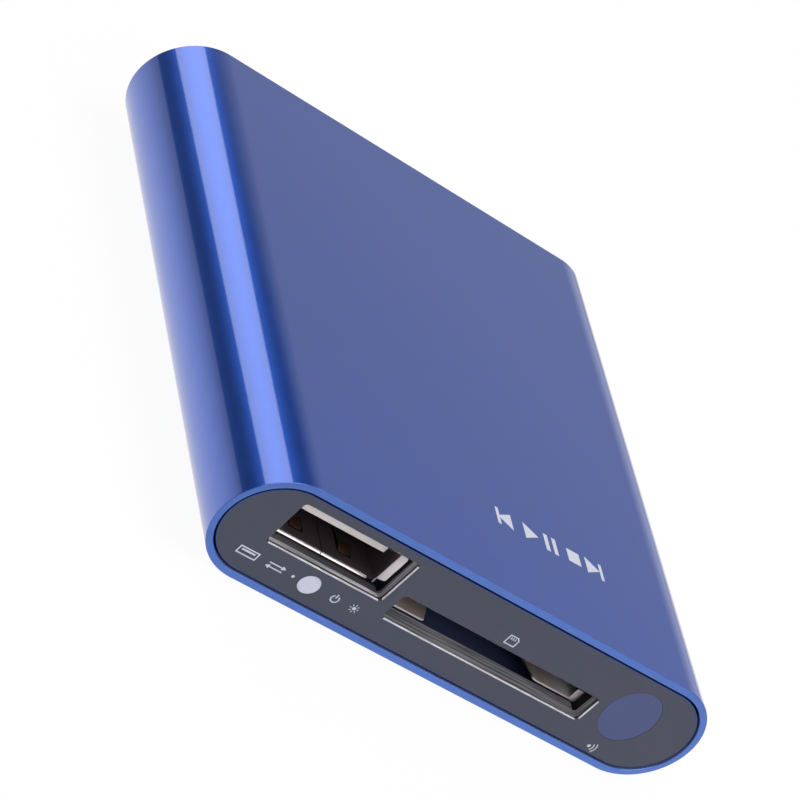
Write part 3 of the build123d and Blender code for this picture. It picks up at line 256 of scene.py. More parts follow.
def edit(piece):
    """Opens the piece for editing, with nothing selected."""
    choose(piece)
    bpy.ops.object.mode_set(mode="EDIT")
    bpy.ops.mesh.select_mode(type="FACE")
    bpy.ops.mesh.select_all(action="DESELECT")


def pick_faces(piece, wanted):
    """Selects the faces whose middle and normal pass the test."""
    bpy.ops.mesh.select_mode(type="FACE")
    bpy.ops.mesh.select_all(action="DESELECT")
    shape = bmesh.from_edit_mesh(piece.data)
    for face in shape.faces:
        face.select_set(bool(wanted(face.calc_center_median(), face.normal)))
    bmesh.update_edit_mesh(piece.data)


def pick_edges(piece, wanted):
    """Selects the edges whose two ends pass the test."""
    bpy.ops.mesh.select_mode(type="EDGE")
    bpy.ops.mesh.select_all(action="DESELECT")
    shape = bmesh.from_edit_mesh(piece.data)
    for edge in shape.edges:
        edge.select_set(bool(wanted(edge.verts[0].co, edge.verts[1].co)))
    bmesh.update_edit_mesh(piece.data)


def pick_points(piece, wanted):
    """Selects the points that pass the test."""
    bpy.ops.mesh.select_mode(type="VERT")
    bpy.ops.mesh.select_all(action="DESELECT")
    shape = bmesh.from_edit_mesh(piece.data)
    for point in shape.verts:
        point.select_set(bool(wanted(point.co)))
    shape.select_flush_mode()
    bmesh.update_edit_mesh(piece.data)


def close_edit():
    """Leaves the edit mode."""
    bpy.ops.object.mode_set(mode="OBJECT")


def bevel_edges(piece, wanted, width, steps):
    """Cuts back the edges whose two ends pass the test. With more steps the new edge is rounder."""
    edit(piece)
    pick_edges(piece, wanted)
    bpy.ops.mesh.bevel(offset=width, offset_type="OFFSET", segments=steps, affect="EDGES")
    close_edit()


def extrude(step):
    """Draws the picked faces or edges out by a step."""
    bpy.ops.mesh.extrude_region_move(TRANSFORM_OT_translate={"value": step})


def apply_all(piece):
    """Applies the piece's modifiers in order."""
    choose(piece)
    for modifier in list(piece.modifiers):
        bpy.ops.object.modifier_apply(modifier=modifier.name)


def merge_points(piece, reach=MERGE_REACH):
    """Joins the points that lie on each other."""
    edit(piece)
    bpy.ops.mesh.select_all(action="SELECT")
    bpy.ops.mesh.remove_doubles(threshold=reach)
    close_edit()


def face_outwards(piece):
    """Turns all faces the same way round, which is outwards on a closed piece."""
    edit(piece)
    bpy.ops.mesh.select_all(action="SELECT")
    bpy.ops.mesh.normals_make_consistent(inside=False)
    close_edit()


def smooth(piece, angle=30):
    """Shades the piece smooth, with edges sharper than the angle kept crisp and flat faces kept flat."""
    merge_points(piece)
    choose(piece)
    bpy.ops.object.shade_smooth_by_angle(angle=math.radians(angle))
    weights = piece.modifiers.new("flat_faces_first", "WEIGHTED_NORMAL")
    weights.keep_sharp = True
    weights.weight = 100
    apply_all(piece)


def stadium(name, width, height, front, back, steps):
    """A flat bar with round sides that runs from front to back, one closed end at each."""
    bpy.ops.object.select_all(action="DESELECT")
    radius = height / 2
    bpy.ops.mesh.primitive_cylinder_add(
        vertices=steps, radius=radius, depth=back - front, location=(0, (front + back) / 2, SIDE_RADIUS),
        rotation=(math.pi / 2, math.pi / steps, 0))
    bar = bpy.context.object
    bar.name = name
    settle(bar)
    edit(bar)
    for side in (-1, 1):
        pick_points(bar, lambda point: point.x * side > 0)
        bpy.ops.transform.translate(value=(side * (width / 2 - radius), 0, 0))
    close_edit()
    face_outwards(bar)
    return bar


def from_middle(point):
    """The distance of a point of the sleeve's section from the line between the two round sides' axes."""
    return math.hypot(max(abs(point.x) - SIDE_SHIFT, 0), point.z - SIDE_RADIUS)


sleeve = stadium("sleeve", BODY_WIDTH, BODY_HEIGHT, -BODY_DEPTH / 2, BODY_DEPTH / 2, SIDE_STEPS)
bevel_edges(sleeve, lambda a, b: abs(a.y - b.y) < SAME, MOUTH_CHAMFER, 3)
edit(sleeve)
for end, pocket in ((-1, FRONT_POCKET), (1, BACK_POCKET)):
    pick_faces(sleeve, lambda middle, normal: normal.y * end > SQUARE_ON and abs(middle.x) < NEAR)
    bpy.ops.mesh.inset(thickness=MOUTH_FLAT_WALL - RIM_ROUNDING - MOUTH_CHAMFER)
    for side in (-1, 1):
        pick_points(sleeve, lambda point: point.y * end > BODY_DEPTH / 2 - SAME and point.x * side > 0
                    and from_middle(point) < SIDE_RADIUS - MOUTH_FLAT_WALL + RIM_STEP_REACH)
        bpy.ops.transform.translate(value=(side * (MOUTH_FLAT_WALL - MOUTH_SIDE_WALL), 0, 0))
    pick_faces(sleeve, lambda middle, normal: normal.y * end > SQUARE_ON and abs(middle.x) < NEAR
               and abs(middle.z - SIDE_RADIUS) < NEAR)
    bpy.ops.mesh.inset(thickness=RIM_ROUNDING)
    bpy.ops.transform.translate(value=(0, -end * RIM_ROUNDING, 0))
    extrude((0, -end * (pocket - RIM_ROUNDING), 0))
    for side in (-1, 1):
        pick_points(sleeve, lambda point: abs(point.y * end - BODY_DEPTH / 2 + pocket) < SAME
                    and point.x * side > 0)
        bpy.ops.transform.translate(value=(-side * (MOUTH_FLAT_WALL - MOUTH_SIDE_WALL), 0, 0))
    pick_faces(sleeve, lambda middle, normal: normal.y * end > SQUARE_ON and abs(middle.x) < NEAR
               and abs(middle.z - SIDE_RADIUS) < NEAR)
    bpy.ops.mesh.inset(thickness=TUBE_WALL - MOUTH_FLAT_WALL)
    bpy.ops.mesh.delete(type="ONLY_FACE")
close_edit()
shape = bmesh.new()
shape.from_mesh(sleeve.data)
open_edges = [edge for edge in shape.edges if edge.is_boundary]
bmesh.ops.bridge_loops(shape, edges=open_edges)
bmesh.ops.recalc_face_normals(shape, faces=shape.faces)
shape.to_mesh(sleeve.data)
shape.free()


def round_bar(name, place, radius, front, back, steps=64):
    """A round bar from front to back, in millimetres."""
    bpy.ops.object.select_all(action="DESELECT")
    bpy.ops.mesh.primitive_cylinder_add(
        vertices=steps, radius=radius * MM, depth=(back - front) * MM,
        location=(place[0] * MM, (front + back) / 2 * MM, place[1] * MM), rotation=(math.pi / 2, 0, 0))
    bar = bpy.context.object
    bar.name = name
    settle(bar)
    return bar


def box_piece(name, low, high):
    """A block between two corners, given in millimetres."""
    bpy.ops.object.select_all(action="DESELECT")
    middle = [(a + b) / 2 * MM for a, b in zip(low, high)]
    size = [(b - a) * MM for a, b in zip(low, high)]
    bpy.ops.mesh.primitive_cube_add(size=1, location=middle, scale=size)
    piece = bpy.context.object
    piece.name = name
    settle(piece)
    return piece


def round_edges(piece, width, segments=2, angle=40):
    """Rounds the edges that are sharper than the angle."""
    rounding = piece.modifiers.new("rounding", "BEVEL")
    rounding.width = width
    rounding.segments = segments
    rounding.limit_method = "ANGLE"
    rounding.angle_limit = math.radians(angle)
    rounding.harden_normals = False
    apply_all(piece)


def combine(piece, other, operation="DIFFERENCE", overlapping=False):
    """Takes the other shape out of the piece, or adds it, and deletes the other."""
    work = piece.modifiers.new("work", "BOOLEAN")
    work.operation = operation
    work.solver = "EXACT"
    work.use_self = overlapping
    work.object = other
    apply_all(piece)
    bpy.data.objects.remove(other)


def join(name, pieces):
    """Joins pieces into one object."""
    bpy.ops.object.select_all(action="DESELECT")
    for piece in pieces:
        piece.select_set(True)
    bpy.context.view_layer.objects.active = pieces[0]
    if len(pieces) > 1:
        bpy.ops.object.join()
    pieces[0].name = name
    return pieces[0]


INK_DEPTH = 0.012
INK_STEPS = 28


def ink_bar(x, y, width, height, turn=0.0):
    """A printed bar, in millimetres and degrees, lying flat."""
    bar = box_piece("ink", (-width / 2, -height / 2, -INK_DEPTH), (width / 2, height / 2, INK_DEPTH))
    bar.rotation_euler = (0, 0, math.radians(turn))
    bar.location = (x * MM, y * MM, 0)
    settle(bar)
    return bar


def ink_round(x, y, radius, corners=INK_STEPS, turn=0.0):
    """A printed disc, or a regular shape with few corners."""
    bpy.ops.object.select_all(action="DESELECT")
    bpy.ops.mesh.primitive_cylinder_add(vertices=corners, radius=radius * MM, depth=2 * INK_DEPTH * MM,
                                        location=(x * MM, y * MM, 0), rotation=(0, 0, math.radians(turn)))
    disc = bpy.context.object
    settle(disc)
    return disc


def coat(piece, materials, index=0):
    """Gives the piece its materials, and every face the one at the index."""
    for material in materials:
        piece.data.materials.append(material)
    for face in piece.data.polygons:
        face.material_index = index


def print_on(piece, marks, place, turn, materials, ink_index):
    """Presses the marks into a face of the piece, to the depth of the ink and in its material."""
    stamp = join("stamp", marks)
    stamp.rotation_euler = turn
    stamp.location = place
    settle(stamp)
    coat(stamp, materials, ink_index)
    combine(piece, stamp, overlapping=True)


SYMBOL_Y = -20.7
SYMBOL_HALF = 1.12
SYMBOL_BAR = 0.42
PAUSE_BAR = SYMBOL_BAR * 1.3
STOP_SIZE = 1.7


def arrow_head(x, way):
    """A solid triangle that points along X, with its flat end on the other side."""
    return ink_round(x, SYMBOL_Y, SYMBOL_HALF * 1.12, 3, -90 * way)


RAIL_SIDES = (27.0, 28.7)
RAIL_LEVELS = ((6.35, 7.05), (8.35, 9.05))
RAIL_ENDS = (-29.2, 29.3)
RAIL_ROUNDING = 0.12
CHANNEL_PLACE = (24.8, 3.6)
CHANNEL_OUTER = 1.75
CHANNEL_BORE = 0.8
CHANNEL_OPENING = 0.8
CHANNEL_HALF = 29.25
CHANNEL_CUT = 32
CHANNEL_WEB = (1.55, 2.9)
WEB_HALF = 0.8

inner_parts = []
for side in (-1, 1):
    for low, high in RAIL_LEVELS:
        rail = box_piece("rail", (RAIL_SIDES[0], RAIL_ENDS[0], low), (RAIL_SIDES[1], RAIL_ENDS[1], high))
        rail.scale = (side, 1, 1)
        settle(rail)
        round_edges(rail, RAIL_ROUNDING * MM)
        inner_parts.append(rail)
    toward_wall = math.atan2(CHANNEL_PLACE[1] - SIDE_RADIUS / MM, CHANNEL_PLACE[0] - SIDE_SHIFT / MM)
    channel = round_bar("channel", (0, 0), CHANNEL_OUTER, -CHANNEL_HALF, CHANNEL_HALF, 48)
    web = box_piece("web", (CHANNEL_WEB[0], RAIL_ENDS[0], -WEB_HALF),
                    (CHANNEL_WEB[1], RAIL_ENDS[1], WEB_HALF))
    combine(channel, web, "UNION")
    combine(channel, round_bar("bore", (0, 0), CHANNEL_BORE, -CHANNEL_CUT, CHANNEL_CUT, 32))
    combine(channel, box_piece("mouth", (-CHANNEL_OUTER - 0.25, -CHANNEL_CUT, -CHANNEL_OPENING / 2),
                               (0, CHANNEL_CUT, CHANNEL_OPENING / 2)))
    channel.rotation_euler = (0, -toward_wall, 0)
    channel.location = (CHANNEL_PLACE[0] * MM, 0, CHANNEL_PLACE[1] * MM)
    settle(channel)
    channel.scale = (side, 1, 1)
    settle(channel)
    inner_parts.append(channel)
for part in inner_parts:
    face_outwards(part)


COARSE_SHARE = 0.06
NICK_SOFTNESS = 0.04


def grain_group():
    """Fine grain on a surface: a mottle for roughness and colour, and a height for the bump."""
    group = bpy.data.node_groups.new("fine_grain", "ShaderNodeTree")
    for name, kind, way in (("Scale", "NodeSocketFloat", "INPUT"), ("Stretch", "NodeSocketVector", "INPUT"),
                            ("Mottle", "NodeSocketFloat", "OUTPUT"), ("Height", "NodeSocketFloat", "OUTPUT")):
        group.interface.new_socket(name=name, socket_type=kind, in_out=way)
    given = group.nodes.new("NodeGroupInput")
    made = group.nodes.new("NodeGroupOutput")
    place = group.nodes.new("ShaderNodeTexCoord")
    stretch = group.nodes.new("ShaderNodeVectorMath")
    stretch.operation = "MULTIPLY"
    group.links.new(place.outputs["Object"], stretch.inputs[0])
    group.links.new(given.outputs["Stretch"], stretch.inputs[1])
    fine = group.nodes.new("ShaderNodeTexNoise")
    fine.inputs["Detail"].default_value = 3.0
    group.links.new(stretch.outputs[0], fine.inputs["Vector"])
    group.links.new(given.outputs["Scale"], fine.inputs["Scale"])
    coarse = group.nodes.new("ShaderNodeTexNoise")
    coarse.inputs["Detail"].default_value = 4.0
    group.links.new(place.outputs["Object"], coarse.inputs["Vector"])
    group.links.new(counted(group, "MULTIPLY", given.outputs["Scale"], COARSE_SHARE), coarse.inputs["Scale"])
    group.links.new(coarse.outputs["Fac"], made.inputs["Mottle"])
    group.links.new(fine.outputs["Fac"], made.inputs["Height"])
    return group


fine_grain = grain_group()


def wear_group():
    """Small bright nicks where an edge is bare: a mask from the distance to that edge."""
    group = bpy.data.node_groups.new("edge_nicks", "ShaderNodeTree")
    for name, kind, way in (("Distance", "NodeSocketFloat", "INPUT"), ("Reach", "NodeSocketFloat", "INPUT"),
                            ("Amount", "NodeSocketFloat", "INPUT"), ("Mask", "NodeSocketFloat", "OUTPUT")):
        group.interface.new_socket(name=name, socket_type=kind, in_out=way)
    given = group.nodes.new("NodeGroupInput")
    made = group.nodes.new("NodeGroupOutput")
    place = group.nodes.new("ShaderNodeTexCoord")
    spots = group.nodes.new("ShaderNodeTexNoise")
    spots.inputs["Scale"].default_value = 900.0
    spots.inputs["Detail"].default_value = 2.0
    group.links.new(place.outputs["Object"], spots.inputs["Vector"])
    near_edge = group.nodes.new("ShaderNodeMapRange")
    near_edge.inputs["From Min"].default_value = 0.0
    near_edge.inputs["To Min"].default_value = 1.0
    near_edge.inputs["To Max"].default_value = 0.0
    group.links.new(given.outputs["Distance"], near_edge.inputs["Value"])
    group.links.new(given.outputs["Reach"], near_edge.inputs["From Max"])
    limit = counted(group, "SUBTRACT", 1.0, given.outputs["Amount"])
    nicks = group.nodes.new("ShaderNodeMapRange")
    nicks.inputs["To Min"].default_value = 0.0
    nicks.inputs["To Max"].default_value = 1.0
    spots_near_edge = counted(group, "MULTIPLY", near_edge.outputs["Result"], spots.outputs["Fac"])
    group.links.new(spots_near_edge, nicks.inputs["Value"])
    group.links.new(limit, nicks.inputs["From Min"])
    group.links.new(counted(group, "ADD", limit, NICK_SOFTNESS), nicks.inputs["From Max"])
    group.links.new(nicks.outputs["Result"], made.inputs["Mask"])
    return group


edge_nicks = wear_group()


def use_group(tree, group, **values):
    """Places a group in a material with its own values."""
    node = tree.nodes.new("ShaderNodeGroup")
    node.node_tree = group
    for name, value in values.items():
        node.inputs[name].default_value = value
    return node


def blend_colours(tree, mask, colour_a, colour_b):
    """A colour that goes from one to the other by a mask. Each may be a value or a socket."""
    node = tree.nodes.new("ShaderNodeMix")
    node.data_type = "RGBA"
    tree.links.new(mask, node.inputs["Factor"])
    for socket, colour in ((node.inputs[6], colour_a), (node.inputs[7], colour_b)):
        if hasattr(colour, "links"):
            tree.links.new(colour, socket)
        else:
            socket.default_value = (*colour, 1.0)
    return node.outputs[2]


def spread(tree, value, low, high, from_low=0.3, from_high=0.7):
    """A value spread over a new range."""
    node = tree.nodes.new("ShaderNodeMapRange")
    node.inputs["From Min"].default_value = from_low
    node.inputs["From Max"].default_value = from_high
    node.inputs["To Min"].default_value = low
    node.inputs["To Max"].default_value = high
    tree.links.new(value, node.inputs["Value"])
    return node.outputs["Result"]


def bump(tree, height, strength, distance):
    """A bump node's normal from a height."""
    node = tree.nodes.new("ShaderNodeBump")
    node.inputs["Strength"].default_value = strength
    node.inputs["Distance"].default_value = distance
    tree.links.new(height, node.inputs["Height"])
    return node.outputs["Normal"]


COAT_ROUGHNESS = 0.07
COAT_INDEX = 1.80
NICK_REACH = 0.25 * MM
NICK_AMOUNT = 0.26
NICK_COLOUR = (0.30, 0.40, 0.66)
ROUGHNESS_SWING = 0.012
FINE_RELIEF = 0.02 * MM


def anodised(name, dark, light, coat_weight, rough):
    """Satin anodised aluminium: a tinted rough metal under a clear, slightly rough oxide coat."""
    material, tree, output = new_material(name)
    shader = tree.nodes.new("ShaderNodeBsdfPrincipled")
    shader.inputs["Metallic"].default_value = 1.0
    shader.inputs["Coat Weight"].default_value = coat_weight
    shader.inputs["Coat Roughness"].default_value = COAT_ROUGHNESS
    shader.inputs["Coat IOR"].default_value = COAT_INDEX
    grain = use_group(tree, fine_grain, Scale=9000.0, Stretch=(1.0, 0.25, 1.0))
    base = blend_colours(tree, spread(tree, grain.outputs["Mottle"], 0.0, 1.0), dark, light)
    depth = counted(tree, "ABSOLUTE", split_place(tree)["Y"])
    nicks = use_group(tree, edge_nicks, Reach=NICK_REACH, Amount=NICK_AMOUNT)
    tree.links.new(counted(tree, "SUBTRACT", BODY_DEPTH / 2, depth), nicks.inputs["Distance"])
    worn = blend_colours(tree, nicks.outputs["Mask"], base, NICK_COLOUR)
    tree.links.new(worn, shader.inputs["Base Color"])
    tree.links.new(spread(tree, grain.outputs["Mottle"], rough - ROUGHNESS_SWING, rough + ROUGHNESS_SWING),
                   shader.inputs["Roughness"])
    tree.links.new(bump(tree, grain.outputs["Height"], 0.05, FINE_RELIEF), shader.inputs["Normal"])
    tree.links.new(shader.outputs[0], output.inputs["Surface"])
    return material


def grained(name, dark, light, rough, scale, stretch=(1.0, 1.0, 1.0), shade_by="Height", shade_range=None,
            relief=None, settings=None):
    """A material whose colour and roughness follow fine grain. The colour's grain may be spread from a range,
    the relief is a bump's strength and depth, and the settings are the shader's other values."""
    material, tree, output = new_material(name)
    shader = tree.nodes.new("ShaderNodeBsdfPrincipled")
    for socket, value in (settings or {}).items():
        shader.inputs[socket].default_value = value
    grain = use_group(tree, fine_grain, Scale=scale, Stretch=stretch)
    shade = grain.outputs[shade_by]
    if shade_range:
        shade = spread(tree, shade, 0.0, 1.0, *shade_range)
    tree.links.new(blend_colours(tree, shade, dark, light), shader.inputs["Base Color"])
    tree.links.new(spread(tree, grain.outputs["Mottle"], *rough), shader.inputs["Roughness"])
    if relief:
        tree.links.new(bump(tree, grain.outputs["Height"], *relief), shader.inputs["Normal"])
    tree.links.new(shader.outputs[0], output.inputs["Surface"])
    return material


blue_anodising = anodised("blue_anodising", dark=(0.036, 0.131, 0.645), light=(0.038, 0.139, 0.685),
                          coat_weight=1.0, rough=0.41)
blue_cut_edge = anodised("blue_cut_edge", dark=(0.046, 0.150, 0.54), light=(0.052, 0.164, 0.60),
                         coat_weight=0.6, rough=0.45)
blue_inside = grained("blue_inside", (0.12, 0.15, 0.34), (0.16, 0.20, 0.43), rough=(0.45, 0.60), scale=5000.0,
                      stretch=(1.0, 0.1, 1.0), settings={"Metallic": 0.4})
white_ink = grained("white_ink", (0.50, 0.53, 0.62), (0.66, 0.69, 0.78), rough=(0.45, 0.60), scale=12000.0,
                    settings={"Specular IOR Level": 0.4})

OUTSIDE, CUT_EDGE, TOP_INK, INSIDE = range(4)
sleeve_materials = (blue_anodising, blue_cut_edge, white_ink, blue_inside)
coat(sleeve, sleeve_materials)
for face in sleeve.data.polygons:
    on_rim = abs(face.center.y) > BODY_DEPTH / 2 - RIM_ROUNDING - 0.01 * MM and abs(face.normal.y) > 0.5
    inside = from_middle(face.center) < SIDE_RADIUS - MOUTH_SIDE_WALL + RIM_ROUNDING
    face.material_index = CUT_EDGE if on_rim else INSIDE if inside else OUTSIDE
symbols = [
    # Skip back.
    ink_bar(0.85, SYMBOL_Y, SYMBOL_BAR, 2 * SYMBOL_HALF),
    arrow_head(2.05, -1),
    # Play.
    arrow_head(4.95, 1),
    # Pause.
    ink_bar(7.35, SYMBOL_Y, PAUSE_BAR, 2 * SYMBOL_HALF),
    ink_bar(8.45, SYMBOL_Y, PAUSE_BAR, 2 * SYMBOL_HALF),
    # Stop.
    ink_bar(11.0, SYMBOL_Y, STOP_SIZE, STOP_SIZE),
    # Skip forward.
    arrow_head(13.3, 1),
    ink_bar(14.75, SYMBOL_Y, SYMBOL_BAR, 2 * SYMBOL_HALF),
]
print_on(sleeve, symbols, (0, 0, BODY_HEIGHT), (0, 0, 0), sleeve_materials, TOP_INK)
for part in inner_parts:
    coat(part, sleeve_materials, INSIDE)
sleeve = join("sleeve", [sleeve] + inner_parts)
smooth(sleeve, 25)
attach(sleeve, "player")
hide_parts("housing_sleeve")

# Front panel: a plate of 2.2 mm, painted dark slate grey, set a little into the sleeve's mouth. The port
# and slot openings are milled after painting, so their walls and bevels are bare, bright metal. The walls
# carry painted shading by depth: painted highlight bands, and painted shade that deepens into the openings.
# The edge chamfer is bare metal tinted blue, a painted reflection of the sleeve's blue rim. Small plain
# signs for the port, the light, the slot and the window are printed in pale ink.
PANEL_GAP = 0.22 * MM
PANEL_WIDTH = BODY_WIDTH - 2 * (MOUTH_SIDE_WALL + PANEL_GAP)
PANEL_HEIGHT = BODY_HEIGHT - 2 * (MOUTH_FLAT_WALL + PANEL_GAP)
PANEL_FRONT = -BODY_DEPTH / 2 + 0.1 * MM
PANEL_THICK = 2.2 * MM
PANEL_REAR = PANEL_FRONT + PANEL_THICK
PANEL_CHAMFER = 0.1 * MM
PANEL_STEPS = 256
PAINT, MILLED, BEVEL, PANEL_INK, MILLED_PORT, MILLED_SIDE, CHAMFER_PAINTED_REFLECTION = range(7)
OPENINGS = (
    ("port_cutter", (-16.79 * MM, 8.015 * MM), (13.95 * MM, 5.43 * MM), MILLED_PORT),
    ("slot_cutter", (4.49 * MM, 5.44 * MM), (25.5 * MM, 3.2 * MM), MILLED),
)
OPENING_BEVEL = 0.12 * MM
OPENING_CORNER = 0.4 * MM
CORNER_SLANT = 0.25
CUTTER_OVERRUN = 0.05 * MM
CUTTER_PAST_REAR = 1.0 * MM
ROUND_CUTTER_ENDS = (-34, -28)
WINDOW_PLACE = (21.38 * MM, 7.02 * MM)
WINDOW_RADII = (2.95 * MM, 3.45 * MM)
LIGHT_PLACE = (-16.75 * MM, 3.22 * MM)
LIGHT_RADIUS = 1.135 * MM
LIGHT_PLAY = 0.015
# A face looks along an axis if its normal's part on it is over FACING.
FACING = 0.9
METAL = {"Metallic": 1.0}

paint_grey = grained("paint_grey", (0.044, 0.049, 0.079), (0.057, 0.062, 0.098), rough=(0.40, 0.50),
                     scale=14000.0, shade_range=(0.25, 0.75), relief=(0.12, FINE_RELIEF),
                     settings={"Specular IOR Level": 0.35})


def milled(name, painted_shading_by_depth, metallic, rough):
    """Bare metal with a milling cutter's fine lines. Its brightness follows the depth, in millimetres, as
    painted light and shade: painted highlight bands and painted shade deeper in the opening.
    """
    material, tree, output = new_material(name)
    shader = tree.nodes.new("ShaderNodeBsdfPrincipled")
    shader.inputs["Metallic"].default_value = metallic
    from_centre = counted(tree, "ABSOLUTE", split_place(tree)["Y"])
    level = tree.nodes.new("ShaderNodeValToRGB")
    fill_ramp(level.color_ramp, [(depth * MM / PANEL_THICK, brightness) for depth, brightness in painted_shading_by_depth])
    tree.links.new(spread(tree, from_centre, 0.0, 1.0, -PANEL_FRONT, -PANEL_REAR), level.inputs["Fac"])
    streaks = use_group(tree, fine_grain, Scale=1700.0, Stretch=(0.08, 4.0, 0.08))
    streak_level = spread(tree, streaks.outputs["Height"], 0.45, 1.35, 0.40, 0.60)
    shade = counted(tree, "MULTIPLY", level.outputs["Color"], streak_level)
    tree.links.new(blend_colours(tree, shade, (0.003, 0.003, 0.004), (0.90, 0.88, 0.96)),
                   shader.inputs["Base Color"])
    tree.links.new(spread(tree, streaks.outputs["Mottle"], rough, rough + 0.12), shader.inputs["Roughness"])
    tree.links.new(bump(tree, streaks.outputs["Height"], 0.30, 0.00004), shader.inputs["Normal"])
    tree.links.new(shader.outputs[0], output.inputs["Surface"])
    return material


# Painted shading by depth: a dark strip behind the bevel, painted highlight bands, and painted shade further
# in, going black deep in the port and on the side walls.
milled_metal_painted_shading = milled("milled_metal_painted_shading", ((0.0, 0.22), (0.30, 0.22), (0.42, 0.52), (2.2, 0.52)),
                      metallic=0.5, rough=0.42)
milled_port_painted_shading = milled("milled_port_painted_shading", ((0.0, 0.10), (0.36, 0.10), (0.47, 0.98), (0.82, 0.98), (0.98, 0.16),
                                     (1.75, 0.12), (1.95, 0.0)), metallic=0.3, rough=0.40)
milled_side_painted_shading = milled("milled_side_painted_shading", ((0.0, 0.05), (0.30, 0.05), (0.44, 0.52), (1.02, 0.44), (1.18, 0.0),
                                     (2.2, 0.0)), metallic=0.4, rough=0.40)
bright_bevel = grained("bright_bevel", (0.38, 0.37, 0.40), (0.66, 0.65, 0.69), rough=(0.20, 0.32),
                       scale=3000.0, stretch=(0.3, 3.0, 0.3), shade_range=(0.3, 0.7), settings=METAL)
# Painted reflection: the edge chamfer's bare metal is tinted dark blue for the sleeve's blue rim that it
# faces.
chamfer_painted_blue_reflection = grained("chamfer_painted_blue_reflection", (0.045, 0.085, 0.30), (0.060, 0.110, 0.38), rough=(0.26, 0.36), scale=5000.0,
                    settings=METAL)


panel = stadium("panel", PANEL_WIDTH, PANEL_HEIGHT, PANEL_FRONT, PANEL_REAR, PANEL_STEPS)
bevel_edges(panel, lambda a, b: max(a.y, b.y) < PANEL_FRONT + SAME, PANEL_CHAMFER, 2)
panel_materials = (paint_grey, milled_metal_painted_shading, bright_bevel, white_ink, milled_port_painted_shading, milled_side_painted_shading, chamfer_painted_blue_reflection)
coat(panel, panel_materials)
for face in panel.data.polygons:
    on_chamfer = -0.95 < face.normal.y < -0.2
    face.material_index = CHAMFER_PAINTED_REFLECTION if on_chamfer else PAINT

for name, middle, size, wall in OPENINGS:
    bpy.ops.object.select_all(action="DESELECT")
    bevel_end = PANEL_FRONT + OPENING_BEVEL
    back = PANEL_REAR + CUTTER_PAST_REAR
    bpy.ops.mesh.primitive_cube_add(size=1, location=(middle[0], (bevel_end + back) / 2, middle[1]),
                                    scale=(size[0], back - bevel_end, size[1]))
    cutter = bpy.context.object
    cutter.name = name
    settle(cutter)
    bevel_edges(cutter, lambda a, b: abs(a.y - b.y) > NEAR, OPENING_CORNER, 5)
    edit(cutter)
    pick_faces(cutter, lambda centre, normal: normal.y < -FACING)
    reach = OPENING_BEVEL + CUTTER_OVERRUN
    extrude((0, -reach, 0))
    bpy.ops.transform.resize(value=((size[0] + 2 * reach) / size[0], 1, (size[1] + 2 * reach) / size[1]))
    close_edit()
    coat(cutter, panel_materials)
    for face in cutter.data.polygons:
        at_corner = min(abs(face.normal.x), abs(face.normal.z)) > CORNER_SLANT
        if at_corner:
            face.material_index = MILLED_SIDE
        elif face.center.y < bevel_end:
            face.material_index = BEVEL
        else:
            sideways = abs(face.normal.x) > abs(face.normal.z)
            face.material_index = MILLED_SIDE if sideways else wall
    combine(panel, cutter)


WINDOW_STEPS = 96
LIGHT_MM = (LIGHT_PLACE[0] / MM, LIGHT_PLACE[1] / MM)

window_cutter = round_bar("window_cutter", (0, 0), 1, *ROUND_CUTTER_ENDS, WINDOW_STEPS)
window_cutter.scale = (WINDOW_RADII[0] / MM, 1, WINDOW_RADII[1] / MM)
window_cutter.location = (WINDOW_PLACE[0], 0, WINDOW_PLACE[1])
settle(window_cutter)
combine(panel, window_cutter)
combine(panel, round_bar("light_cutter", LIGHT_MM, LIGHT_RADIUS / MM + LIGHT_PLAY, *ROUND_CUTTER_ENDS))

ARC_MERGE_REACH = 1e-8


def ink_arc(x, y, radius, width, start, sweep):
    """A printed arc of a ring, from one angle on through a sweep."""
    bpy.ops.object.select_all(action="DESELECT")
    bpy.ops.mesh.primitive_plane_add(size=1, location=(radius * MM, 0, 0), rotation=(math.pi / 2, 0, 0))
    arc = bpy.context.object
    arc.scale = (width * MM, 2 * INK_DEPTH * MM, 1)
    settle(arc)
    edit(arc)
    bpy.ops.mesh.select_all(action="SELECT")
    bpy.ops.mesh.spin(steps=INK_STEPS, angle=math.radians(-sweep), center=(0, 0, 0), axis=(0, 0, 1))
    close_edit()
    merge_points(arc, ARC_MERGE_REACH)
    face_outwards(arc)
    arc.rotation_euler = (0, 0, math.radians(start))
    arc.location = (x * MM, y * MM, 0)
    settle(arc)
    return arc


SIGN_Z = 3.24
PLUG_X = -24.2
ARROWS_X = -20.85
POWER_X = -13.55
SUN_X = -11.2
RAY_MIDDLE = 0.42
CARD_X = 4.35
CARD_Z = 8.29
WAVES = (20.85, 1.9)
THIN_LINE = 0.13

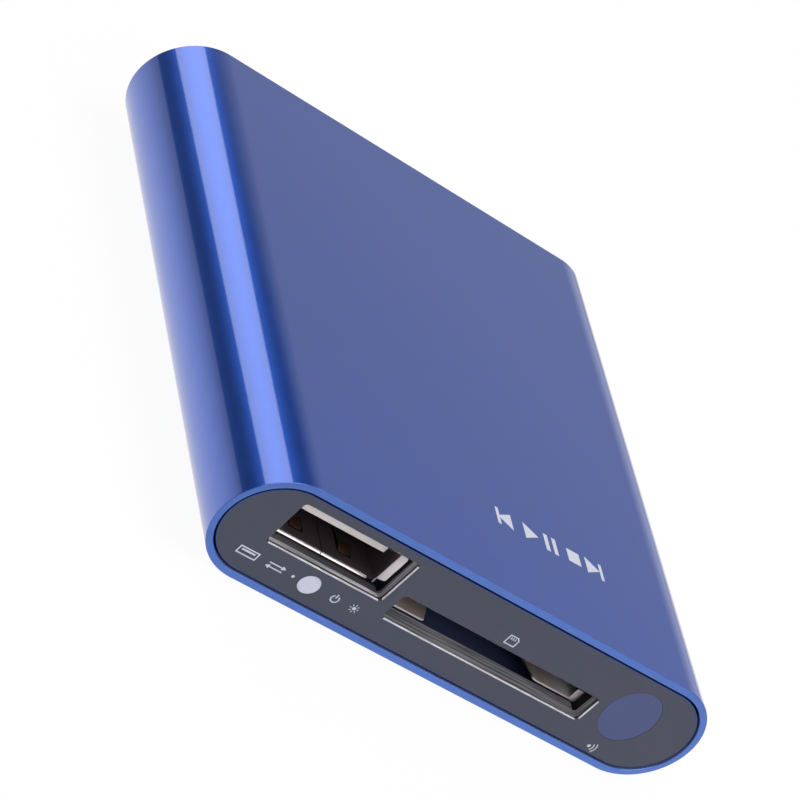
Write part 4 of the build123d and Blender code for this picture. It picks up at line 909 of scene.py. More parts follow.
signs = [
    # The port: a plug's outline, and arrows both ways.
    ink_bar(PLUG_X, SIGN_Z + 0.42, 2.3, 0.15),
    ink_bar(PLUG_X, SIGN_Z - 0.42, 2.3, 0.15),
    ink_bar(PLUG_X - 1.08, SIGN_Z, 0.15, 0.69),
    ink_bar(PLUG_X + 1.08, SIGN_Z, 0.15, 0.69),
    ink_bar(PLUG_X, SIGN_Z + 0.12, 1.6, 0.22),
    *[part for way in (1, -1)
      for part in (ink_bar(ARROWS_X - 0.15 * way, SIGN_Z + 0.24 * way, 1.5, 0.14),
                   ink_round(ARROWS_X + 0.75 * way, SIGN_Z + 0.24 * way, 0.32, 3, -90 * way))],
    ink_round(-18.75, SIGN_Z, 0.17),
    # The light: the usual sign for power, and a small sun.
    ink_arc(POWER_X, SIGN_Z - 0.05, 0.42, 0.15, 122, 296),
    ink_bar(POWER_X, SIGN_Z + 0.3, 0.15, 0.5),
    ink_round(SUN_X, SIGN_Z, 0.2),
    *[ink_bar(SUN_X + RAY_MIDDLE * math.cos(math.radians(ray)),
              SIGN_Z + RAY_MIDDLE * math.sin(math.radians(ray)), 0.22, 0.09, ray)
      for ray in range(0, 360, 45)],
    # The slot: a card with a cut corner and three contacts.
    ink_bar(CARD_X - 0.6, CARD_Z, THIN_LINE, 1.1),
    ink_bar(CARD_X + 0.6, CARD_Z - 0.16, THIN_LINE, 0.78),
    ink_bar(CARD_X, CARD_Z - 0.54, 1.33, THIN_LINE),
    ink_bar(CARD_X - 0.15, CARD_Z + 0.55, 1.03, THIN_LINE),
    ink_bar(CARD_X + 0.47, CARD_Z + 0.39, THIN_LINE, 0.46, 45),
    *[ink_bar(CARD_X + along, CARD_Z + 0.23, 0.12, 0.3) for along in (-0.3, -0.05, 0.2)],
    # The window: a point that sends out waves.
    ink_round(*WAVES, 0.2),
    ink_arc(*WAVES, 0.5, THIN_LINE, -50, 100),
    ink_arc(*WAVES, 0.85, THIN_LINE, -42, 84),
]
print_on(panel, signs, (0, PANEL_FRONT, 0), (math.pi / 2, 0, 0), panel_materials, PANEL_INK)
smooth(panel)
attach(panel, "player")
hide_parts("front_panel")

# Panel tape: a ring of thin black adhesive tape behind the front panel's edge. It holds the panel against the
# shoulder inside the sleeve's mouth.
tape_black = grained("tape_black", (0.010, 0.010, 0.011), (0.022, 0.022, 0.024), rough=(0.65, 0.85),
                     scale=6000.0)


def dress(node, material):
    """Gives a solid of the frame its material."""
    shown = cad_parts[node]
    shown.data.materials.clear()
    shown.data.materials.append(material)


dress("panel_tape", tape_black)

# Infrared window: an oval plug of dark violet plastic, which lets a remote control's light through. It is
# pressed into the panel, flush with its face.
WINDOW_PLAY = 0.02
WINDOW_ROUNDING = 0.05

violet_plastic = grained("violet_plastic", (0.047, 0.065, 0.185), (0.056, 0.075, 0.205), rough=(0.34, 0.42),
                         scale=5000.0, shade_by="Mottle", settings={"Specular IOR Level": 0.4})
window = round_bar("remote_window", (0, 0), 1, PANEL_FRONT / MM, PANEL_REAR / MM, WINDOW_STEPS)
window.scale = (WINDOW_RADII[0] / MM - WINDOW_PLAY, 1, WINDOW_RADII[1] / MM - WINDOW_PLAY)
window.location = (WINDOW_PLACE[0], 0, WINDOW_PLACE[1])
settle(window)
round_edges(window, WINDOW_ROUNDING * MM, 2, 60)
smooth(window)
window.data.materials.append(violet_plastic)
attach(window, "player")
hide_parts("infrared_window")

# Light pipe: a milky clear moulded bar whose polished end is the power light. A collar behind the panel holds
# it, and its slanted inner end turns the light of the small lamp under the board forward.
PIPE_BEND = -15.3
PIPE_TOP = 6.1
PIPE_END_ROUNDING = 0.07
RISER_SLIMMER = 0.03
COLLAR = (1.45, 0.6)
SLANT_HALF = 2
SCATTERING = {"Subsurface Weight": 0.3, "Subsurface Radius": (0.001, 0.001, 0.001), "Subsurface Scale": 0.5}

milky_plastic = grained("milky_plastic", (0.56, 0.60, 0.72), (0.66, 0.70, 0.82), rough=(0.30, 0.42),
                        scale=3500.0, settings=SCATTERING)
pipe = round_bar("power_light_pipe", LIGHT_MM, LIGHT_RADIUS / MM, PANEL_FRONT / MM,
                 PIPE_BEND + LIGHT_RADIUS / MM)
bevel_edges(pipe, lambda a, b: max(a.y, b.y) < PANEL_FRONT + SAME, PIPE_END_ROUNDING * MM, 3)
bpy.ops.object.select_all(action="DESELECT")
bpy.ops.mesh.primitive_cylinder_add(
    vertices=64, radius=LIGHT_RADIUS - RISER_SLIMMER * MM, depth=PIPE_TOP * MM - LIGHT_PLACE[1],
    location=(LIGHT_PLACE[0], PIPE_BEND * MM, (PIPE_TOP * MM + LIGHT_PLACE[1]) / 2))
riser = bpy.context.object
settle(riser)
combine(pipe, riser, "UNION")
combine(pipe, round_bar("collar", LIGHT_MM, COLLAR[0], PANEL_REAR / MM, PANEL_REAR / MM + COLLAR[1]), "UNION")
slant = box_piece("slant", (LIGHT_MM[0] - SLANT_HALF, PIPE_BEND - SLANT_HALF, LIGHT_MM[1] - SLANT_HALF),
                  (LIGHT_MM[0] + SLANT_HALF, PIPE_BEND + SLANT_HALF, LIGHT_MM[1] + SLANT_HALF))
edit(slant)
pick_points(slant, lambda point: point.y < PIPE_BEND * MM and point.z > LIGHT_PLACE[1])
bpy.ops.transform.translate(value=(0, 2 * SLANT_HALF * MM, 0))
close_edit()
merge_points(slant, SAME)
combine(pipe, slant)
smooth(pipe)
pipe.data.materials.append(milky_plastic)
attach(pipe, "player")
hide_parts("light_pipe")


def merged_copy(node, body, material):
    """Replaces a solid by a copy of it with its loose triangles joined."""
    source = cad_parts[node]
    piece = bpy.data.objects.new("fine_" + node, source.data.copy())
    bpy.context.scene.collection.objects.link(piece)
    merge_points(piece)
    piece.data.materials.clear()
    piece.data.materials.append(material)
    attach(piece, body)
    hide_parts(node)
    return piece


def softened(node, body, width, material):
    """Replaces a solid by a merged copy of it with lightly rounded edges."""
    piece = merged_copy(node, body, material)
    edit(piece)
    bpy.ops.mesh.select_all(action="SELECT")
    bpy.ops.mesh.dissolve_limited(angle_limit=math.radians(0.5))
    close_edit()
    round_edges(piece, width * MM, 2, 35)
    smooth(piece, 35)
    return piece


softened("power_light", "player", 0.06, milky_plastic)

# Port shell: tin-plated steel sheet folded into a box, with a seam in its floor and spring tongues that lean
# into the opening. Its lips turn out above and below, and flare forward at both sides into the panel. Its
# inside, its front rim and the backs of the springs and side lips are painted dark as shade. The lips and the
# side lips' fronts are painted light as highlights, and the springs' front slopes carry a copper tint, a
# painted reflection of the gilded contacts.
PORT_MIDDLE = (-16.75, 8.08)
PORT_HALF = (6.25, 2.56)
PORT_SHEET = 0.3
PORT_CORNER = 0.42
PORT_MOUTH = -29.08
PORT_BACK = -17.4
PORT_LIP_GAP = 0.55
SEAM_HALF = 0.05
SIDE_LIP_BEND = -29.5
SIDE_LIP_RUN = (0.53, 0.62)
LIP_SHEET = 0.18
LIP_ROUNDING = 0.03
SPRING_PLACES = (-3.0, 3.0)
SPRING_CREST = -26.5
SPRING_HALF = 0.7
SPRING_SLOT_HALF = 0.9
SPRING_SLOT_ENDS = (-28.0, -23.6)
WING_MIDDLE = -22.0
WING_LEVEL = 8.45


def plated(name, dark, light, rough, metallic=1.0):
    """Tin-plated steel with a faint mottle."""
    return grained(name, dark, light, (rough - 0.06, rough + 0.06), 2500.0, shade_by="Mottle",
                   shade_range=(0.3, 0.7), relief=(0.08, 0.03 * MM), settings={"Metallic": metallic})


tin_plate = plated("tin_plate", (0.62, 0.57, 0.55), (0.74, 0.69, 0.67), 0.28)
# Painted highlight: a lighter copy of the tin plate for the upper and lower lips.
plate_painted_highlight = plated("plate_painted_highlight", (0.84, 0.78, 0.79), (0.94, 0.88, 0.89), 0.24)
# Painted highlight: a near-white, barely metallic copy of the plate for the side lips' fronts and the cover's
# front edges.
plate_painted_white_highlight = plated("plate_painted_white_highlight", (0.92, 0.83, 0.86), (0.99, 0.91, 0.94), 0.26, 0.08)
# Painted shade: a dark copy of the plate for the shell's inside, its front rim and the backs of the springs
# and side lips.
plate_painted_shade = plated("plate_painted_shade", (0.075, 0.060, 0.068), (0.11, 0.085, 0.095), 0.34, 0.35)
# Painted reflection: a copper tint on the springs' front slopes, standing in for the gilded contacts that
# they face.
plate_painted_gold_reflection = plated("plate_painted_gold_reflection", (0.30, 0.17, 0.11), (0.42, 0.24, 0.15), 0.42)


def sheet_strip(name, path, half_width, thickness):
    """A strip of sheet bent along a path of points in millimetres, as wide as twice the given vector."""
    bpy.ops.object.select_all(action="DESELECT")
    bpy.ops.mesh.primitive_plane_add(size=1)
    strip = bpy.context.object
    strip.name = name
    half = Vector(half_width)
    corners = (Vector(path[0]) - half, Vector(path[0]) + half, Vector(path[1]) - half, Vector(path[1]) + half)
    for point, corner in zip(strip.data.vertices, corners):
        point.co = corner * MM
    edit(strip)
    end = Vector(path[1])
    for target in path[2:]:
        step = (Vector(target) - end) * MM
        here = ((end - half) * MM, (end + half) * MM)
        pick_edges(strip, lambda a, b: min((a - here[0]).length, (a - here[1]).length) < MERGE_REACH
                   and min((b - here[0]).length, (b - here[1]).length) < MERGE_REACH)
        extrude(step)
        end = Vector(target)
    close_edit()
    face_outwards(strip)
    wall = strip.modifiers.new("wall", "SOLIDIFY")
    wall.thickness = thickness * MM
    wall.offset = 0
    wall.use_even_offset = True
    apply_all(strip)
    return strip


left, right = PORT_MIDDLE[0] - PORT_HALF[0], PORT_MIDDLE[0] + PORT_HALF[0]
floor, roof = PORT_MIDDLE[1] - PORT_HALF[1], PORT_MIDDLE[1] + PORT_HALF[1]
shell = box_piece("port_sheet", (left - PORT_SHEET, PORT_MOUTH, floor - PORT_SHEET),
                  (right + PORT_SHEET, PORT_BACK, roof + PORT_SHEET))
bevel_edges(shell, lambda a, b: abs(a.y - b.y) > NEAR, PORT_CORNER * MM, 4)
edit(shell)
pick_faces(shell, lambda middle, normal: normal.y < -FACING)
bpy.ops.mesh.inset(thickness=PORT_SHEET * MM)
extrude((0, (PORT_BACK - PORT_MOUTH - PORT_SHEET) * MM, 0))
close_edit()
for offset in SPRING_PLACES:
    x = PORT_MIDDLE[0] + offset
    for wall in (floor - PORT_SHEET / 2, roof + PORT_SHEET / 2):
        combine(shell, box_piece("spring_slot", (x - SPRING_SLOT_HALF, SPRING_SLOT_ENDS[0], wall - 0.4),
                                 (x + SPRING_SLOT_HALF, SPRING_SLOT_ENDS[1], wall + 0.4)))
combine(shell, box_piece("seam", (PORT_MIDDLE[0] - SEAM_HALF, PORT_MOUTH - 1, floor - 1),
                         (PORT_MIDDLE[0] + SEAM_HALF, PORT_BACK - PORT_SHEET, floor + 0.1)))
coat(shell, (tin_plate, plate_painted_shade, plate_painted_gold_reflection))
# The shell's inside and its front rim take the painted shade.
for face in shell.data.polygons:
    inside = (abs(face.center.x / MM - PORT_MIDDLE[0]) < PORT_HALF[0] + 0.05
              and abs(face.center.z / MM - PORT_MIDDLE[1]) < PORT_HALF[1] + 0.05
              and face.center.y < (PORT_BACK - 0.1) * MM)
    at_mouth = face.center.y < (PORT_MOUTH + 0.05) * MM
    face.material_index = 1 if inside or at_mouth else 0

shell_parts = [shell]
for up, wall in ((-1, floor), (1, roof)):
    for start, stop in ((left + PORT_LIP_GAP, PORT_MIDDLE[0] - SEAM_HALF),
                        (PORT_MIDDLE[0] + SEAM_HALF, right - PORT_LIP_GAP)):
        x = (start + stop) / 2
        lip = sheet_strip("lip", [(x, -29.02, wall + up * 0.14), (x, -29.1, wall + up * 0.16),
                                  (x, -29.19, wall + up * 0.25), (x, -29.39, wall + up * 0.56)],
                          ((stop - start) / 2, 0, 0), LIP_SHEET)
        round_edges(lip, LIP_ROUNDING * MM)
        lip.data.materials.append(plate_painted_highlight)
        shell_parts.append(lip)
    for offset in SPRING_PLACES:
        x = PORT_MIDDLE[0] + offset
        middle = wall + up * 0.1
        spring = sheet_strip("spring", [(x, -23.4, middle), (x, -23.9, middle - up * 0.02),
                                        (x, -26.2, middle - up * 0.31), (x, -26.6, middle - up * 0.35),
                                        (x, -27.0, middle - up * 0.27), (x, -27.7, middle)],
                             (SPRING_HALF, 0, 0), LIP_SHEET)
        round_edges(spring, 0.04 * MM)
        coat(spring, (plate_painted_shade, plate_painted_gold_reflection))
        # Front slopes in the copper painted reflection, backs in painted shade.
        for face in spring.data.polygons:
            face.material_index = 1 if face.center.y < SPRING_CREST * MM else 0
        shell_parts.append(spring)
for side, wall in ((-1, left), (1, right)):
    x = wall + side * 0.1
    lip_end = SIDE_LIP_BEND - SIDE_LIP_RUN[1]
    lip = sheet_strip("lip", [(x, -28.9, PORT_MIDDLE[1]), (x, SIDE_LIP_BEND, PORT_MIDDLE[1]),
                              (x + side * 0.06, SIDE_LIP_BEND - 0.12, PORT_MIDDLE[1]),
                              (x + side * (SIDE_LIP_RUN[0] - 0.1), lip_end, PORT_MIDDLE[1])],
                      (0, 0, PORT_HALF[1] - PORT_LIP_GAP), 0.16)
    edit(lip)
    pick_points(lip, lambda point: point.y < (SIDE_LIP_BEND - 0.3) * MM)
    bend = (x * MM, SIDE_LIP_BEND * MM, PORT_MIDDLE[1] * MM)
    bpy.ops.transform.resize(value=(1, 1, 0.8), center_override=bend)
    close_edit()
    bevel_edges(lip, lambda a, b: max(a.y, b.y) < (lip_end + 0.1) * MM and abs(a.x - b.x) < 0.2 * MM
                and abs(a.z - b.z) < 0.01 * MM, 0.15 * MM, 3)
    round_edges(lip, LIP_ROUNDING * MM)
    coat(lip, (plate_painted_white_highlight, plate_painted_shade))
    # Side lips: fronts in the painted white highlight, backs in painted shade.
    for face in lip.data.polygons:
        face.material_index = 0 if face.center.y < (SIDE_LIP_BEND - 0.05) * MM else 1
    shell_parts.append(lip)
    wing = sheet_strip("board_wing", [(wall + side * 0.15, WING_MIDDLE, WING_LEVEL),
                                      (wall + side * 1.6, WING_MIDDLE, WING_LEVEL)], (0, 2.0, 0), PORT_SHEET)
    round_edges(wing, 0.05 * MM)
    wing.data.materials.append(tin_plate)
    shell_parts.append(wing)
shell = join("port_sheet", shell_parts)
smooth(shell)
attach(shell, "player")
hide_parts("port_shell")

# Port tongue: a warm white insulator with a block at the back of the shell and a flat tongue with a rounded
# front edge. Four gilded strips lie under it, each with a raised contact near its front.
TONGUE_HALF = 5.55
TONGUE_LEVELS = (8.1, 9.94)
TONGUE_FRONT = -28.5
TONGUE_ROOT = -20.6
CONTACT_PLACES = (-3.5, -1.0, 1.0, 3.5)
BLOCK_PLAY = 0.05
STRIP_LEVEL = 8.02

insulator_white = grained("insulator_white", (0.88, 0.82, 0.78), (0.96, 0.91, 0.88), rough=(0.40, 0.55),
                          scale=4000.0, shade_by="Mottle", shade_range=(0.3, 0.7))
insulator_shade = grained("insulator_shade", (0.030, 0.026, 0.024), (0.045, 0.040, 0.036), rough=(0.40, 0.55),
                          scale=4000.0, shade_by="Mottle", shade_range=(0.3, 0.7))
tongue = box_piece("port_insulator_block", (left + BLOCK_PLAY, TONGUE_ROOT, floor + BLOCK_PLAY),
                   (right - BLOCK_PLAY, PORT_BACK - 0.3, roof - BLOCK_PLAY))
round_edges(tongue, 0.15 * MM)
blade = box_piece("blade", (PORT_MIDDLE[0] - TONGUE_HALF, TONGUE_FRONT, TONGUE_LEVELS[0]),
                  (PORT_MIDDLE[0] + TONGUE_HALF, TONGUE_ROOT + 0.2, TONGUE_LEVELS[1]))
bevel_edges(blade, lambda a, b: max(a.y, b.y) < TONGUE_FRONT * MM + SAME and abs(a.x - b.x) < SAME,
            0.2 * MM, 4)
round_edges(blade, 0.08 * MM, 3)
coat(tongue, (insulator_white, insulator_shade), 1)
coat(blade, (insulator_white, insulator_shade))
for face in blade.data.polygons:
    face.material_index = 1 if abs(face.normal.z) > 0.8 else 0
tongue = join("port_insulator_block", [tongue, blade])
smooth(tongue)
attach(tongue, "player")
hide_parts("port_tongue")

gilding = grained("gilding", (0.74, 0.51, 0.20), (0.88, 0.65, 0.30), rough=(0.20, 0.32), scale=5000.0,
                  settings=METAL)
strips = []
for offset in CONTACT_PLACES:
    x = PORT_MIDDLE[0] + offset
    strip = sheet_strip("strip", [(x, PORT_BACK - 0.3, STRIP_LEVEL), (x, -26.2, STRIP_LEVEL), (x, -26.6, 7.9),
                                  (x, -27.1, 7.84), (x, -27.5, 7.9), (x, -27.7, STRIP_LEVEL)],
                        (0.5, 0, 0), 0.16)
    round_edges(strip, 0.03 * MM)
    strips.append(strip)
strips = join("port_strips", strips)
strips.data.materials.append(gilding)
smooth(strips)
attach(strips, "player")
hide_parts("port_contacts")

# Card socket base: a black moulded frame under the board, closed below by the cover. The card carriage slides
# in it along its left side, pushed forward by the eject spring, and the cam pin swings in the carriage's
# groove. A row of gilded contacts presses down on the card.
black_moulding = grained("black_moulding", (0.010, 0.011, 0.016), (0.020, 0.022, 0.030), rough=(0.40, 0.55),
                         scale=5000.0, relief=(0.10, FINE_RELIEF))
bright_wire = grained("bright_wire", (0.42, 0.42, 0.43), (0.58, 0.58, 0.59), rough=(0.20, 0.34), scale=5000.0,
                      settings=METAL)
softened("card_socket_base", "player", 0.04, black_moulding)
softened("card_carriage", "card_carriage", 0.05, black_moulding)
pin = merged_copy("cam_pin", "cam_pin", bright_wire)
smooth(pin, 35)
softened("card_contacts", "player", 0.03, gilding)

# Eject spring: one unbroken bright steel wire, wound between the carriage's wing and the back wall of the
# base. It is held by the wall and shortens by the carriage's travel as the card is pushed in.
spring = merged_copy("eject_spring", "player", bright_wire)
smooth(spring, 60)
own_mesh(spring)

# Card socket cover: thin tin-plated sheet under the base, with folded sides, a small front fold at the right
# and a tapered finger notch. Its upper face carries a dull, warm film, which turns near white towards the
# front
# fold: painted light from the fold. Its front edges are painted white as a highlight.
COVER_LEVELS = (3.75, 3.95)
COVER_SIDES = (-10.1, 18.6)
COVER_MOUTH = -29.0
COVER_BACK = 0.4
COVER_SIDE_TOP = 6.9
COVER_BAY = (-12.7, -16.7)
NOTCH_MIDDLE = 4.85
NOTCH_HALVES = (7.25, 4.2)
NOTCH_DEPTH = 7.0
FRONT_FOLD = (16.85, 18.4, 5.3)
FOLD_SHEET = 0.2
NOTCH_CORNER = 0.5
NOTCH_MOUTH_CORNER = 0.35
PAINTED_LIGHT_SPAN = (13.2, 16.2)
BAY_PLAY = (0.1, 0.02)
SHEAR_ROUNDING = 0.085
FOLD_ROUNDING = 0.06

satin_cover, tree, output = new_material("satin_cover")
shader = tree.nodes.new("ShaderNodeBsdfPrincipled")
shader.inputs["Metallic"].default_value = 0.35
grain = use_group(tree, fine_grain, Scale=2500.0, Stretch=(1.0, 1.0, 1.0))
film = blend_colours(tree, spread(tree, grain.outputs["Mottle"], 0.0, 1.0),
                     (0.58, 0.47, 0.42), (0.76, 0.63, 0.57))
# Painted light: towards the front fold at the right the film turns near white.
painted_light_share = spread(tree, split_place(tree)["X"], 0.0, 1.0, PAINTED_LIGHT_SPAN[0] * MM, PAINTED_LIGHT_SPAN[1] * MM)
tree.links.new(blend_colours(tree, painted_light_share, film, (0.98, 0.94, 0.95)), shader.inputs["Base Color"])
tree.links.new(spread(tree, grain.outputs["Mottle"], 0.44, 0.56), shader.inputs["Roughness"])
tree.links.new(shader.outputs[0], output.inputs["Surface"])

cover = box_piece("card_cover", (COVER_SIDES[0], COVER_MOUTH, COVER_LEVELS[0]),
                  (COVER_SIDES[1], COVER_BACK, COVER_LEVELS[1]))
taper = NOTCH_HALVES[0] - NOTCH_HALVES[1]
notch = box_piece("notch", (NOTCH_MIDDLE - NOTCH_HALVES[1], COVER_MOUTH - 1, 3),
                  (NOTCH_MIDDLE + NOTCH_HALVES[1], COVER_MOUTH + NOTCH_DEPTH, 5))
edit(notch)
for side in (-1, 1):
    pick_points(notch, lambda point: point.y < COVER_MOUTH * MM and (point.x / MM - NOTCH_MIDDLE) * side > 0)
    bpy.ops.transform.translate(value=(side * (taper + taper / NOTCH_DEPTH) * MM, 0, 0))
close_edit()
bevel_edges(notch, lambda a, b: min(a.y, b.y) > COVER_MOUTH * MM and abs(a.z - b.z) > NEAR,
            NOTCH_CORNER * MM, 5)
combine(cover, notch)
bevel_edges(cover, lambda a, b: abs(a.z - b.z) > NEAR and max(a.y, b.y) < (COVER_MOUTH + 0.05) * MM
            and abs(a.x / MM - NOTCH_MIDDLE) < NOTCH_HALVES[0] + 0.3, NOTCH_MOUTH_CORNER * MM, 5)
low, high = COVER_LEVELS
cover_parts = [
    cover,
    box_piece("bay", (COVER_BAY[0] + BAY_PLAY[0], COVER_BAY[1] + BAY_PLAY[1], low),
              (COVER_SIDES[0] + BAY_PLAY[0], COVER_BACK - BAY_PLAY[1], high)),
    box_piece("left_fold", (COVER_SIDES[0], COVER_MOUTH, low),
              (COVER_SIDES[0] + FOLD_SHEET, COVER_BAY[1], COVER_SIDE_TOP)),
    box_piece("bay_fold", (COVER_BAY[0], COVER_BAY[1], low),
              (COVER_BAY[0] + FOLD_SHEET, COVER_BACK, COVER_SIDE_TOP)),
    box_piece("right_fold", (COVER_SIDES[1] - FOLD_SHEET, COVER_MOUTH, low),
              (COVER_SIDES[1], COVER_BACK, COVER_SIDE_TOP)),
    box_piece("front_fold", (FRONT_FOLD[0], COVER_MOUTH, low),
              (FRONT_FOLD[1], COVER_MOUTH + FOLD_SHEET, FRONT_FOLD[2])),
]
for part in cover_parts:
    round_edges(part, (SHEAR_ROUNDING if part is cover else FOLD_ROUNDING) * MM, 3)
    coat(part, (tin_plate, satin_cover, plate_painted_white_highlight))
    # Top faces take the film, front faces the painted white highlight, and the rest the tin plate.
    for face in part.data.polygons:
        on_top = face.normal.z > 0.98 and face.center.z < 4.2 * MM
        at_front = face.center.y < (COVER_MOUTH + 0.3) * MM and not on_top
        face.material_index = 1 if on_top else 2 if at_front else 0
cover = join("card_cover", cover_parts)
smooth(cover)
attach(cover, "player")
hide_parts("card_socket_cover")

# Rear panel: the same painted plate as the front one, with bevelled openings for the three rear sockets and
# two countersunk screw holes.
REAR_IN = 29.4
REAR_OUT = 31.6
VIDEO_MIDDLE = -1.0
AV_PLACE = (-15.0, 4.55)
DC_PLACE = (14.5, 4.45)
SCREW_PLACES = (-24.8, 24.8)
SCREW_Z = 3.6
SCREW_HOLE = 0.95
SINK_RADIUS = 1.894
SINK_DEPTH = 0.9
REAR_BEVEL = 0.12
REAR_CUT = REAR_IN - 1
VIDEO_HALF = 7.3
VIDEO_LEVELS = (1.65, 4.9, 6.8)
VIDEO_SLANT = 1.6
VIDEO_PLAY = 0.2
AV_HOLE = 2.7
DC_HOLE = 2.8


def prism(name, section, front, back):
    """A closed bar from front to back whose section is a ring of points, given as X and Z in millimetres."""
    bpy.ops.object.select_all(action="DESELECT")
    bpy.ops.mesh.primitive_cylinder_add(vertices=len(section), radius=1 * MM, depth=(back - front) * MM,
                                        rotation=(math.pi / 2, 0, 0))
    bar = bpy.context.object
    bar.name = name
    settle(bar)
    for index, (x, z) in enumerate(section):
        for point in bar.data.vertices[2 * index:2 * index + 2]:
            point.co = (x * MM, (front if point.co.y < 0 else back) * MM, z * MM)
    face_outwards(bar)
    return bar


def video_section(inset):
    """The video socket's section: straight sides below and slanted corners above."""
    half = VIDEO_HALF - inset
    bottom, shoulder, top = VIDEO_LEVELS
    bottom += inset
    shoulder -= 0.4 * inset
    top -= inset
    return [(VIDEO_MIDDLE - half, bottom), (VIDEO_MIDDLE + half, bottom),
            (VIDEO_MIDDLE + half, shoulder), (VIDEO_MIDDLE + half - VIDEO_SLANT, top),
            (VIDEO_MIDDLE - half + VIDEO_SLANT, top), (VIDEO_MIDDLE - half, shoulder)]


def bevelled_hole(plate, hole, bevel, middle):
    """Cuts a hole with a bright bevel at the rear face. The hole's bar ends inside the plate's bevel."""
    edit(hole)
    pick_faces(hole, lambda centre, normal: normal.y > FACING)
    width = max(point.co.x for point in hole.data.vertices) - min(point.co.x for point in hole.data.vertices)
    rise = max(point.co.z for point in hole.data.vertices) - min(point.co.z for point in hole.data.vertices)
    reach = bevel * MM + CUTTER_OVERRUN
    extrude((0, reach, 0))
    bpy.ops.transform.resize(value=(1 + 2 * reach / width, 1, 1 + 2 * reach / rise), center_override=middle)
    close_edit()
    coat(hole, panel_materials)
    for face in hole.data.polygons:
        face.material_index = BEVEL if face.center.y > (REAR_OUT - bevel) * MM else MILLED
    combine(plate, hole)


back_plate = stadium("back_plate", PANEL_WIDTH, PANEL_HEIGHT, REAR_IN * MM, REAR_OUT * MM, PANEL_STEPS)
bevel_edges(back_plate, lambda a, b: min(a.y, b.y) > REAR_OUT * MM - SAME, PANEL_CHAMFER, 2)
coat(back_plate, panel_materials)
video_hole = prism("video_hole", video_section(-VIDEO_PLAY), REAR_CUT, REAR_OUT - REAR_BEVEL)
video_height = (VIDEO_LEVELS[0] + VIDEO_LEVELS[2]) / 2
bevelled_hole(back_plate, video_hole, REAR_BEVEL, (VIDEO_MIDDLE * MM, REAR_OUT * MM, video_height * MM))
for place, radius in ((AV_PLACE, AV_HOLE), (DC_PLACE, DC_HOLE)):
    hole = round_bar("hole", place, radius, REAR_CUT, REAR_OUT - REAR_BEVEL, 96)
    bevelled_hole(back_plate, hole, REAR_BEVEL, (place[0] * MM, REAR_OUT * MM, place[1] * MM))
for x in SCREW_PLACES:
    hole = round_bar("hole", (x, SCREW_Z), SCREW_HOLE, REAR_CUT, REAR_OUT - SINK_DEPTH)
    edit(hole)
    pick_faces(hole, lambda centre, normal: normal.y > FACING)
    extrude((0, 1.0 * MM, 0))
    bpy.ops.transform.resize(value=(SINK_RADIUS / SCREW_HOLE, 1, SINK_RADIUS / SCREW_HOLE),
                             center_override=(x * MM, REAR_OUT * MM, SCREW_Z * MM))
    close_edit()
    coat(hole, panel_materials, BEVEL)
    combine(back_plate, hole)

SCREEN = (1.0, 9.0)
NOTE = (14.62, 8.3)
POLARITY = (-14.5, 8.85)
LINE = 0.14

rear_signs = [
    # A screen on its foot, above the video socket.
    ink_bar(SCREEN[0], SCREEN[1] + 0.55, 1.9, LINE),
    ink_bar(SCREEN[0], SCREEN[1] - 0.55, 1.9, LINE),
    ink_bar(SCREEN[0] - 0.88, SCREEN[1], LINE, 1.24),
    ink_bar(SCREEN[0] + 0.88, SCREEN[1], LINE, 1.24),
    ink_bar(SCREEN[0], SCREEN[1] - 0.85, 0.9, LINE),
    # A note, above the sound and picture jack.
    ink_round(*NOTE, 0.3),
    ink_bar(NOTE[0] + 0.24, NOTE[1] + 0.65, THIN_LINE, 1.3),
    ink_bar(NOTE[0] + 0.54, NOTE[1] + 1.15, 0.7, 0.2, -25),
    # A plug's open ring and pin, above the power jack.
    ink_arc(*POLARITY, 0.55, LINE, 40, 280),
    ink_round(*POLARITY, 0.2),
    ink_bar(POLARITY[0] + 0.9, POLARITY[1], 0.8, THIN_LINE),
]
print_on(back_plate, rear_signs, (0, REAR_OUT * MM, 0), (math.pi / 2, 0, math.pi), panel_materials, PANEL_INK)
smooth(back_plate)
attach(back_plate, "player")
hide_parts("rear_panel")

# Rear screws: two countersunk self-tapping screws with a cross recess, which hold the rear panel to the
# sleeve's screw channels.
SHANK = 0.75
NECK = 0.9
SCREW_TIP = 23.0
TIP_LENGTH = 0.4
TIP_TAPER = 0.35
HEAD_RADIUS = 1.75
HEAD_HEIGHT = 0.9
HEAD_RIM = 0.05
SLIT_HALF = (1.0, 0.21)
SLIT_DEPTH = 0.6
SLIT_TURN = 20


def drawn_out(length, wider, x):
    """Extrudes the picked faces of the screw at X, then makes them wider or narrower around its middle."""
    extrude((0, length * MM, 0))
    bpy.ops.transform.resize(value=(wider, 1, wider), center_override=(x * MM, 0, SCREW_Z * MM))


